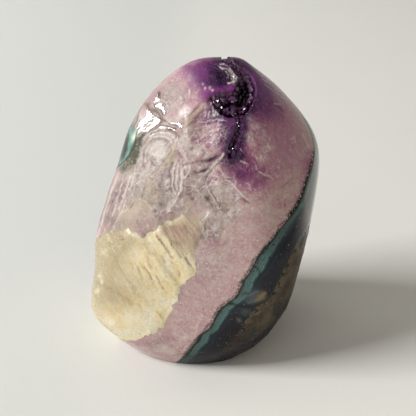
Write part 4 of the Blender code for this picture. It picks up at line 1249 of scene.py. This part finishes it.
def amethyst_material():
    """Quartz, lilac to near-black purple, with pale veils, bright cracks, tan stain and green film."""
    recipe = Recipe("amethyst")
    broken, polished, fan_zone = [recipe.field(name) for name in ("broken", "polish", "fan")]
    mottle = recipe.noise(6.0, 6.0, 0.62, 0.4)
    fine = recipe.noise(0.9, 4.0, 0.65)
    middling = recipe.noise(2.2, 5.0, 0.62, 0.8)
    grain = recipe.grains(1.3, output="Color")
    fan_turn = recipe.times(recipe.field("fan_turn"), 22.0)
    fan_reach = recipe.times(recipe.field("fan_reach"), 0.045)
    fan_place = recipe.add("CombineXYZ", {0: fan_turn, 1: fan_reach, 2: mottle})[0]
    fan = recipe.noise(1000, 5.0, 0.68, 0.3, fan_place)
    strip = recipe.noise(1.6, 5.0, 0.66, 0.2, recipe.stretched(STRIP_RUN, 7))
    torn_place = recipe.warped(4.0, 2.2)
    shards = recipe.grains(3.4, output="Color", place=torn_place)
    splinters = recipe.grains(1.5, output="Color", place=recipe.warped(2.0, 1.0))
    shards = recipe.plus(recipe.centred(shards, 0.40), recipe.centred(splinters, 0.45))
    purple = recipe.plus(recipe.field("purple"), recipe.field("shade"))
    shade = purple
    for value, height in ((mottle, 0.75), (middling, 0.6), (fine, 0.5), (grain, 0.16)):
        shade = recipe.plus(shade, recipe.centred(value, height))
    shade = recipe.plus(shade, recipe.times(shards, broken))
    shade = recipe.plus(shade, recipe.times(recipe.centred(fan, -3.4), fan_zone))
    shade = recipe.plus(shade, recipe.times(recipe.centred(strip, -1.8), recipe.field("strip")))
    # Painted shade: the skin darkens the deeper it lies below the smooth form, inside the cleft.
    shade = recipe.plus(shade, recipe.range(recipe.field("depth"), 1.6, 4.0, 0.0, 1.2))
    colour = recipe.ramp(shade, [
        (-0.40, (0.84, 0.72, 0.66)),
        (0.00, (0.68, 0.46, 0.44)),
        (0.25, (0.58, 0.295, 0.365)),
        (0.50, (0.40, 0.15, 0.265)),
        (0.80, (0.22, 0.052, 0.165)),
        (1.20, (0.068, 0.008, 0.076)),
        (1.90, (0.018, 0.001, 0.034)),
    ])
    grey = recipe.ramp(shade, [
        (-0.40, (0.80, 0.72, 0.65)),
        (0.00, (0.55, 0.45, 0.40)),
        (0.30, (0.37, 0.28, 0.26)),
        (0.70, (0.17, 0.095, 0.11)),
        (1.20, (0.050, 0.008, 0.050)),
    ])
    colour = recipe.mix(recipe.times(recipe.field("glass"), 1.0, clamp=True), colour, grey)
    whitish = recipe.times(recipe.range(fan, 0.54, 0.66), recipe.times(fan_zone, 0.4))
    colour = recipe.mix(whitish, colour, (0.72, 0.62, 0.60))
    threads = recipe.math("SUBTRACT", recipe.noise(5.0, 7.0, 0.66, 1.2), 0.5)
    threads = recipe.range(recipe.math("ABSOLUTE", threads), 0.0, 0.03, 1.0, 0.0)
    white = recipe.times(threads, recipe.math("MULTIPLY_ADD", broken, 0.42, 0.08))
    colour = recipe.mix(white, colour, (0.88, 0.80, 0.76))
    cracks = recipe.grains(3.4, "DISTANCE_TO_EDGE", place=torn_place)
    cracks = recipe.range(cracks, 0.015, 0.055, 1.0, 0.0)
    cracks = recipe.times(cracks, recipe.range(middling, 0.42, 0.56, 0.1, 1.0))
    colour = recipe.mix(recipe.times(cracks, broken), colour, (0.92, 0.85, 0.80))
    specks = recipe.noise(1.1, 2.0, 0.5, 0.6)
    flecks = recipe.times(recipe.range(specks, 0.63, 0.67), recipe.range(mottle, 0.42, 0.60, 0.15, 1.0))
    flecks = recipe.times(flecks, recipe.range(purple, 0.1, 0.6, 1.0, 0.12))
    colour = recipe.mix(flecks, colour, (0.86, 0.74, 0.72))
    crumbs = recipe.noise(0.75, 3.0, 0.6)
    pale_crumbs = recipe.times(recipe.range(crumbs, 0.57, 0.70), recipe.range(purple, 0.1, 0.6, 0.5, 0.04))
    colour = recipe.mix(pale_crumbs, colour, (0.88, 0.78, 0.75))
    colour = recipe.mix(recipe.range(crumbs, 0.43, 0.31, 0.0, 0.32), colour, (0.20, 0.10, 0.13))
    honey = recipe.math("MULTIPLY_ADD", middling, 8.0, recipe.field("calcite"))
    honey = recipe.times(recipe.range(honey, 0.5, 4.5, 0.0, 0.8), recipe.field("honey"), clamp=True)
    colour = recipe.mix(honey, colour, (0.60, 0.46, 0.32))
    breakup = recipe.range(middling, 0.30, 0.55, 0.55, 1.15)
    colour = recipe.marked(colour, "cream orchid violet magenta brown plum", breakup)
    colour = recipe.marked(colour, "pale", recipe.range(fine, 0.38, 0.54, 0.3, 1.25))
    colour = recipe.marked(colour, "olive", recipe.range(fine, 0.40, 0.60, 1.25, 0.45))
    colour = recipe.marked(colour, "mint teal rust", breakup)
    colour = recipe.marked(colour, "edge", recipe.range(fine, 0.40, 0.52, 0.25, 1.3))
    edge = recipe.plus(recipe.field("past_wall"), recipe.centred(recipe.noise(2.0, 9.0, 0.9), 4.0))
    colour = recipe.mix(recipe.range(edge, -1.1, -0.4), colour, (0.016, 0.021, 0.020))
    uneven = recipe.times(recipe.plus(recipe.plus(fine, middling), fan), broken)
    height = recipe.plus(recipe.times(recipe.grains(1.2), recipe.field("sugar")), uneven)
    height = recipe.times(height, recipe.math("SUBTRACT", 1.0, polished))
    shiny = recipe.math("SUBTRACT", 1.0, recipe.field("pale"), clamp=True)
    dull = recipe.times(recipe.times(recipe.field("dull"), 0.5), shiny)
    dull = recipe.plus(dull, recipe.math("MULTIPLY_ADD", fine, 0.16, 0.08), clamp=True)
    unpolished = recipe.math("SUBTRACT", 1.0, recipe.times(polished, 0.92))
    absorption = recipe.add("VolumeAbsorption", {"Color": (0.82, 0.66, 0.82), "Density": 50})
    recipe.feed(recipe.tree.nodes["Material Output"].inputs["Volume"], absorption["Volume"])
    return recipe.finish(
        base_color=colour,
        roughness=recipe.times(recipe.math("MINIMUM", dull, 0.6), unpolished),
        transmission_weight=recipe.math("MULTIPLY_ADD", broken, 0.15, 0.20),
        ior=1.544,
        specular_ior_level=0.3,
        subsurface_weight=0.3,
        subsurface_radius=(3 * MM, 1.6 * MM, 2.2 * MM),
        subsurface_scale=1.0,
        normal=recipe.bump(height, 0.12),
    )


def rind_material():
    """Rind in bands: dark fringe, green celadonite, slate chalcedony, black line, brown basalt."""
    recipe = Recipe("geode_rind")
    wander = recipe.centred(recipe.noise(6.0, 5.0, 0.6), 1.0)
    ragged = recipe.centred(recipe.noise(1.4, 6.0, 0.72), 1.0)
    band = recipe.math("MULTIPLY_ADD", wander, 0.8, recipe.field("green_band"))
    band = recipe.math("MULTIPLY_ADD", ragged, 0.7, band)
    colour = recipe.ramp(band, [
        (-0.1, (0.014, 0.020, 0.018)),
        (0.16, (0.020, 0.040, 0.036)),
        (0.26, (0.07, 0.12, 0.105)),
        (0.36, (0.13, 0.19, 0.165)),
        (0.46, (0.03, 0.10, 0.09)),
        (0.62, (0.10, 0.22, 0.19)),
        (0.74, (0.04, 0.12, 0.11)),
        (0.88, (0.12, 0.22, 0.20)),
        (1.14, (0.025, 0.06, 0.065)),
        (1.40, (0.012, 0.016, 0.026)),
        (1.80, (0.018, 0.024, 0.036)),
        (2.20, (0.010, 0.012, 0.020)),
    ])
    rust = recipe.range(recipe.noise(6.0, 6.0, 0.68), 0.38, 0.62)
    brown = recipe.mix(rust, (0.030, 0.022, 0.012), (0.125, 0.087, 0.045))
    basalt = recipe.math("MULTIPLY_ADD", wander, 3.0, recipe.field("basalt"))
    basalt = recipe.math("MULTIPLY_ADD", ragged, 11.0, basalt)
    brown = recipe.mix(recipe.range(basalt, 1.0, 7.0, 0.6, 0.0), brown, (0.155, 0.112, 0.058))
    brown = recipe.mix(recipe.range(ragged, -0.13, -0.07, 0.9, 0.0), brown, (0.010, 0.009, 0.007))
    blots = recipe.range(recipe.noise(2.6, 5.0, 0.7), 0.50, 0.56)
    blots = recipe.times(blots, recipe.range(basalt, 1.0, 5.0, 1.0, 0.0))
    brown = recipe.mix(blots, brown, (0.008, 0.008, 0.007))
    colour = recipe.mix(recipe.range(basalt, -3.0, -2.2), colour, (0.006, 0.006, 0.006))
    colour = recipe.mix(recipe.range(basalt, 0.3, 0.7), colour, brown)
    # These marks are the rind's own colours, except the near-black ones along the lower right bottom edge,
    # which are painted shade.
    colour = recipe.marked(colour, "slate tan rust black gloom olive mint teal edge quartz", 1.0)
    crumbs = recipe.noise(1.0, 3.0, 0.6)
    colour = recipe.mix(recipe.range(crumbs, 0.66, 0.71, 0.0, 0.7), colour, (0.30, 0.28, 0.24))
    colour = recipe.mix(recipe.range(crumbs, 0.37, 0.32, 0.0, 0.8), colour, (0.006, 0.007, 0.008))
    return recipe.finish(
        base_color=colour,
        roughness=recipe.range(basalt, -0.5, 0.8, 0.10, 0.38),
        ior=1.5,
        specular_ior_level=0.25,
        coat_weight=recipe.times(recipe.field("gloss"), 1.0, clamp=True),
        coat_roughness=0.05,
        coat_ior=2.6,
        normal=recipe.bump(ragged, 0.10),
    )


def calcite_material():
    """Honey calcite: translucent yellow, milky in patches, with dark cleavage lines."""
    recipe = Recipe("calcite")
    cloud = recipe.noise(10.0, 5.0, 0.6, 0.6)
    grain = recipe.noise(0.9, 6.0, 0.65, 0.3, recipe.stretched(ALONG, 10))
    fine = recipe.noise(0.8, 5.0, 0.7)
    crumbs = recipe.noise(2.2, 5.0, 0.7)
    colour = recipe.ramp(cloud, [
        (0.34, (0.84, 0.67, 0.38)),
        (0.46, (0.94, 0.77, 0.46)),
        (0.56, (0.98, 0.84, 0.56)),
        (0.66, (0.98, 0.88, 0.68)),
    ])
    # Dim marks are painted shade on the calcite's lit left and top left, with some of its own darker tone;
    # mauve is its own tint.
    colour = recipe.marked(colour, "dim mauve", 0.9)
    colour = recipe.mix(recipe.range(crumbs, 0.42, 0.32, 0.0, 0.22), colour, (0.50, 0.38, 0.20))
    colour = recipe.mix(recipe.range(grain, 0.45, 0.34, 0.0, 0.6), colour, (0.50, 0.36, 0.18))
    colour = recipe.mix(recipe.range(grain, 0.56, 0.68, 0.0, 0.45), colour, (0.98, 0.90, 0.70))
    colour = recipe.marked(colour, "straw ochre cream", recipe.range(crumbs, 0.30, 0.55, 0.55, 1.1))
    return recipe.finish(
        base_color=colour,
        roughness=recipe.range(crumbs, 0.35, 0.65, 0.08, 0.40),
        transmission_weight=0.15,
        ior=1.6,
        subsurface_weight=0.3,
        subsurface_radius=(3 * MM, 2.2 * MM, 1.0 * MM),
        subsurface_scale=1.0,
        normal=recipe.bump(recipe.plus(grain, fine), 0.15),
    )


def crystal(mesh, foot, axis, radius, length, spin, blunt=False):
    """One six-sided point with a short waist, its tip a little off centre or left out."""
    side = np.array(Vector(axis).orthogonal().normalized())
    other = np.cross(axis, side)
    turns = [spin + corner * math.tau / CRYSTAL_SIDES for corner in range(CRYSTAL_SIDES)]
    spokes = [(side * math.cos(turn) + other * math.sin(turn)) * radius for turn in turns]
    rings = []
    for height in (-0.5 * length, 0.4 * length):
        rings.append([mesh.verts.new(foot + spoke + axis * height) for spoke in spokes])
    mesh.faces.new(rings[0])
    tip = None if blunt else mesh.verts.new(foot + axis * length + side * radius * 0.2)
    if blunt:
        mesh.faces.new(rings[1])
    for corner in range(CRYSTAL_SIDES):
        before = corner - 1
        mesh.faces.new((rings[0][before], rings[0][corner], rings[1][corner], rings[1][before]))
        if tip:
            mesh.faces.new((rings[1][before], rings[1][corner], tip))


def build_crust():
    """The crust of small crystals on the cleft's walls, as one mesh."""
    random = np.random.default_rng(CRYSTAL_SEED)
    mesh = bmesh.new()
    made = 0
    while made < CRYSTAL_COUNT:
        line, depths = ARM_PATHS[0 if random.random() < CRYSTAL_MAIN_SHARE else 1]
        station = random.integers(1, ARM_POINTS - 1)
        centre, depth = line[station], depths[station]
        along = line[station + 1] - line[station - 1]
        centre = centre + along * random.uniform(-0.5, 0.5)
        along /= np.linalg.norm(along)
        out = outward(centre[None], smooth_form)[0]
        side = np.cross(along, out)
        angle = random.uniform(-CRYSTAL_SPREAD, CRYSTAL_SPREAD)
        spoke = side * math.sin(angle) / CLEFT_NARROWING - out * math.cos(angle)
        foot = centre + spoke * (depth - CRYSTAL_SEAT)
        axis = out * CRYSTAL_LEAN - spoke + random.normal(0, CRYSTAL_SCATTER, 3)
        axis /= np.linalg.norm(axis)
        radius = (CRYSTAL_RADIUS + CRYSTAL_RADIUS_MORE * random.random() ** 2) * MM * min(1, depth / (4 * MM))
        length = radius * random.uniform(*CRYSTAL_LENGTHS)
        spin = random.uniform(0, math.pi)
        if smooth_form((foot + axis * length)[None])[0] > CRYSTAL_SUNK:
            continue
        crystal(mesh, foot, axis, radius, length, spin)
        made += 1
    axis = facing(*MIRROR_FACING)
    for *place, radius, sunk in BRIGHT_CRYSTALS:
        top = drop_to_surface(np.array([place]) * MM)[0]
        foot = top - outward(top[None], smooth_form)[0] * sunk * MM
        crystal(mesh, foot, axis, radius * MM, BRIGHT_LENGTH, radius * 7, blunt=True)
    return link_mesh("cleft_crystals", mesh)


def crust_material():
    """Deep purple crystals, with painted shade, black in the hollow and paler at its brim, and painted light
    at the right.
    """
    recipe = Recipe("crystal_crust")
    tint = recipe.noise(2.5, 4.0)
    # Painted shade: crystals darken the deeper they sit in the hollow.
    deep = recipe.range(recipe.field("depth"), 0.5, 3.5, 0.85, 0.0)
    parts = recipe.add("SeparateXYZ", {0: recipe.place})
    # Painted light: crystals on the cleft's right wall, which faces the window, are paler.
    lit = recipe.range(parts["X"], 9.5 * MM, 13.5 * MM, 0.0, 0.55)
    colour = recipe.ramp(recipe.plus(recipe.plus(deep, lit), recipe.centred(tint, 0.3)), [
        (0.0, (0.006, 0.001, 0.010)),
        (0.4, (0.020, 0.004, 0.026)),
        (0.7, (0.060, 0.016, 0.062)),
        (1.0, (0.15, 0.065, 0.14)),
        (1.4, (0.30, 0.20, 0.28)),
    ])
    return recipe.finish(base_color=colour, roughness=0.06, ior=1.544, transmission_weight=0.2)


def dress(piece, node, material):
    """Gives a piece its material, and puts it in the place of a node."""
    piece.data.materials.clear()
    piece.data.materials.append(material)
    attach(piece, "root")
    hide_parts(node)


def build_stone():
    skin = build_skin()
    behind = wall_cutter("wall for rind", 0)
    before = wall_cutter("wall for amethyst", -SEAM)
    prism = calcite_prism("sides of calcite", 0)
    socket = calcite_prism("socket of calcite", SEAM)
    hollowing = [("DIFFERENCE", before), ("DIFFERENCE", socket)]
    amethyst = cut_piece("amethyst_body", skin, hollowing, GLASS_SHARP_ANGLE)
    rind = cut_piece("rind_body", skin, [("INTERSECT", behind)], STONE_SHARP_ANGLE)
    calcite = cut_piece("calcite_body", skin, [("INTERSECT", prism)], STONE_SHARP_ANGLE)
    for cutter in (behind, before, prism, socket):
        bpy.data.objects.remove(cutter)
    for piece in (amethyst, rind, calcite):
        store_zones(piece)
    dress(amethyst, "amethyst", amethyst_material())
    dress(rind, "geode_rind", rind_material())
    dress(calcite, "calcite", calcite_material())
    crust = build_crust()
    store(crust.data, "depth", depth_of(vectors(crust.data.vertices, "co")))
    dress(crust, "crystal_crust", crust_material())


def add_camera():
    lens = bpy.data.cameras.new("camera")
    lens.angle = CAMERA_ANGLE
    lens.clip_start = 0.01
    camera = linked("camera", lens)
    camera.location = CAMERA_PLACE
    camera.rotation_euler = Vector(CAMERA_AHEAD).to_track_quat("-Z", "Y").to_euler()
    bpy.context.scene.camera = camera


def add_light(name, towards, distance, width, height, power):
    """A soft rectangular light that shines on the stone from a direction."""
    direction = Vector(towards).normalized()
    lamp = bpy.data.lights.new(name, "AREA")
    lamp.shape = "RECTANGLE"
    lamp.size, lamp.size_y = width, height
    lamp.energy = power
    light = linked(name, lamp)
    light.location = Vector(HEART) + direction * distance
    light.rotation_euler = (-direction).to_track_quat("-Z", "Y").to_euler()


def add_floor():
    """A pale floor that curves up into a backdrop."""
    mesh = bmesh.new()
    profile = [(FLOOR_FRONT, 0.0), (FLOOR_BACK, 0.0)]
    for turn in np.linspace(0.1, math.pi / 2, BACKDROP_STEPS):
        rise = BACKDROP_CURVE * (1 - math.cos(turn))
        profile.append((FLOOR_BACK + BACKDROP_CURVE * math.sin(turn), rise))
    profile.append((FLOOR_BACK + BACKDROP_CURVE, BACKDROP_TOP))
    rows = [[mesh.verts.new((x, y, z)) for x in (-FLOOR_SIDE, FLOOR_SIDE)] for y, z in profile]
    for low, high in zip(rows, rows[1:]):
        mesh.faces.new((low[0], low[1], high[1], high[0]))
    floor = link_mesh("floor", mesh)
    floor.data.shade_smooth()
    recipe = Recipe("floor")
    cloud = recipe.noise(60, 3.0)
    fibre = recipe.bump(recipe.noise(1.2, 4.0), 0.05)
    colour = recipe.mix(cloud, (0.76, 0.75, 0.71), (0.79, 0.78, 0.745))
    parts = recipe.add("SeparateXYZ", {0: recipe.place})
    # Painted shade towards the back and on the left, and painted light at the front.
    colour = recipe.mix(recipe.range(parts["Y"], 0.05, 0.7, 0.0, 0.6), colour, (0.74, 0.75, 0.73))
    colour = recipe.mix(recipe.range(parts["Y"], -0.02, -0.12, 0.0, 0.8), colour, (0.95, 0.95, 0.88))
    colour = recipe.mix(recipe.range(parts["X"], 0.02, -0.07, 0.0, 0.85), colour, (0.66, 0.675, 0.655))
    floor.data.materials.append(recipe.finish(base_color=colour, roughness=0.9, normal=fibre))


def add_world():
    world = bpy.data.worlds.new("room")
    world.use_nodes = True
    back = world.node_tree.nodes["Background"]
    back.inputs["Color"].default_value = (1.0, 0.90, 0.78, 1)
    back.inputs["Strength"].default_value = 0.20
    bpy.context.scene.world = world


def build_studio():
    add_camera()
    add_floor()
    add_world()
    add_light("window", (-0.79, -0.12, 0.60), 2.5, 1.06, 0.62, 66)
    add_light("near wall", (-0.22, -0.86, 0.47), 1.0, 1.2, 1.2, 2.0)
    bpy.context.scene.view_settings.view_transform = "Standard"


build_stone()
build_studio()
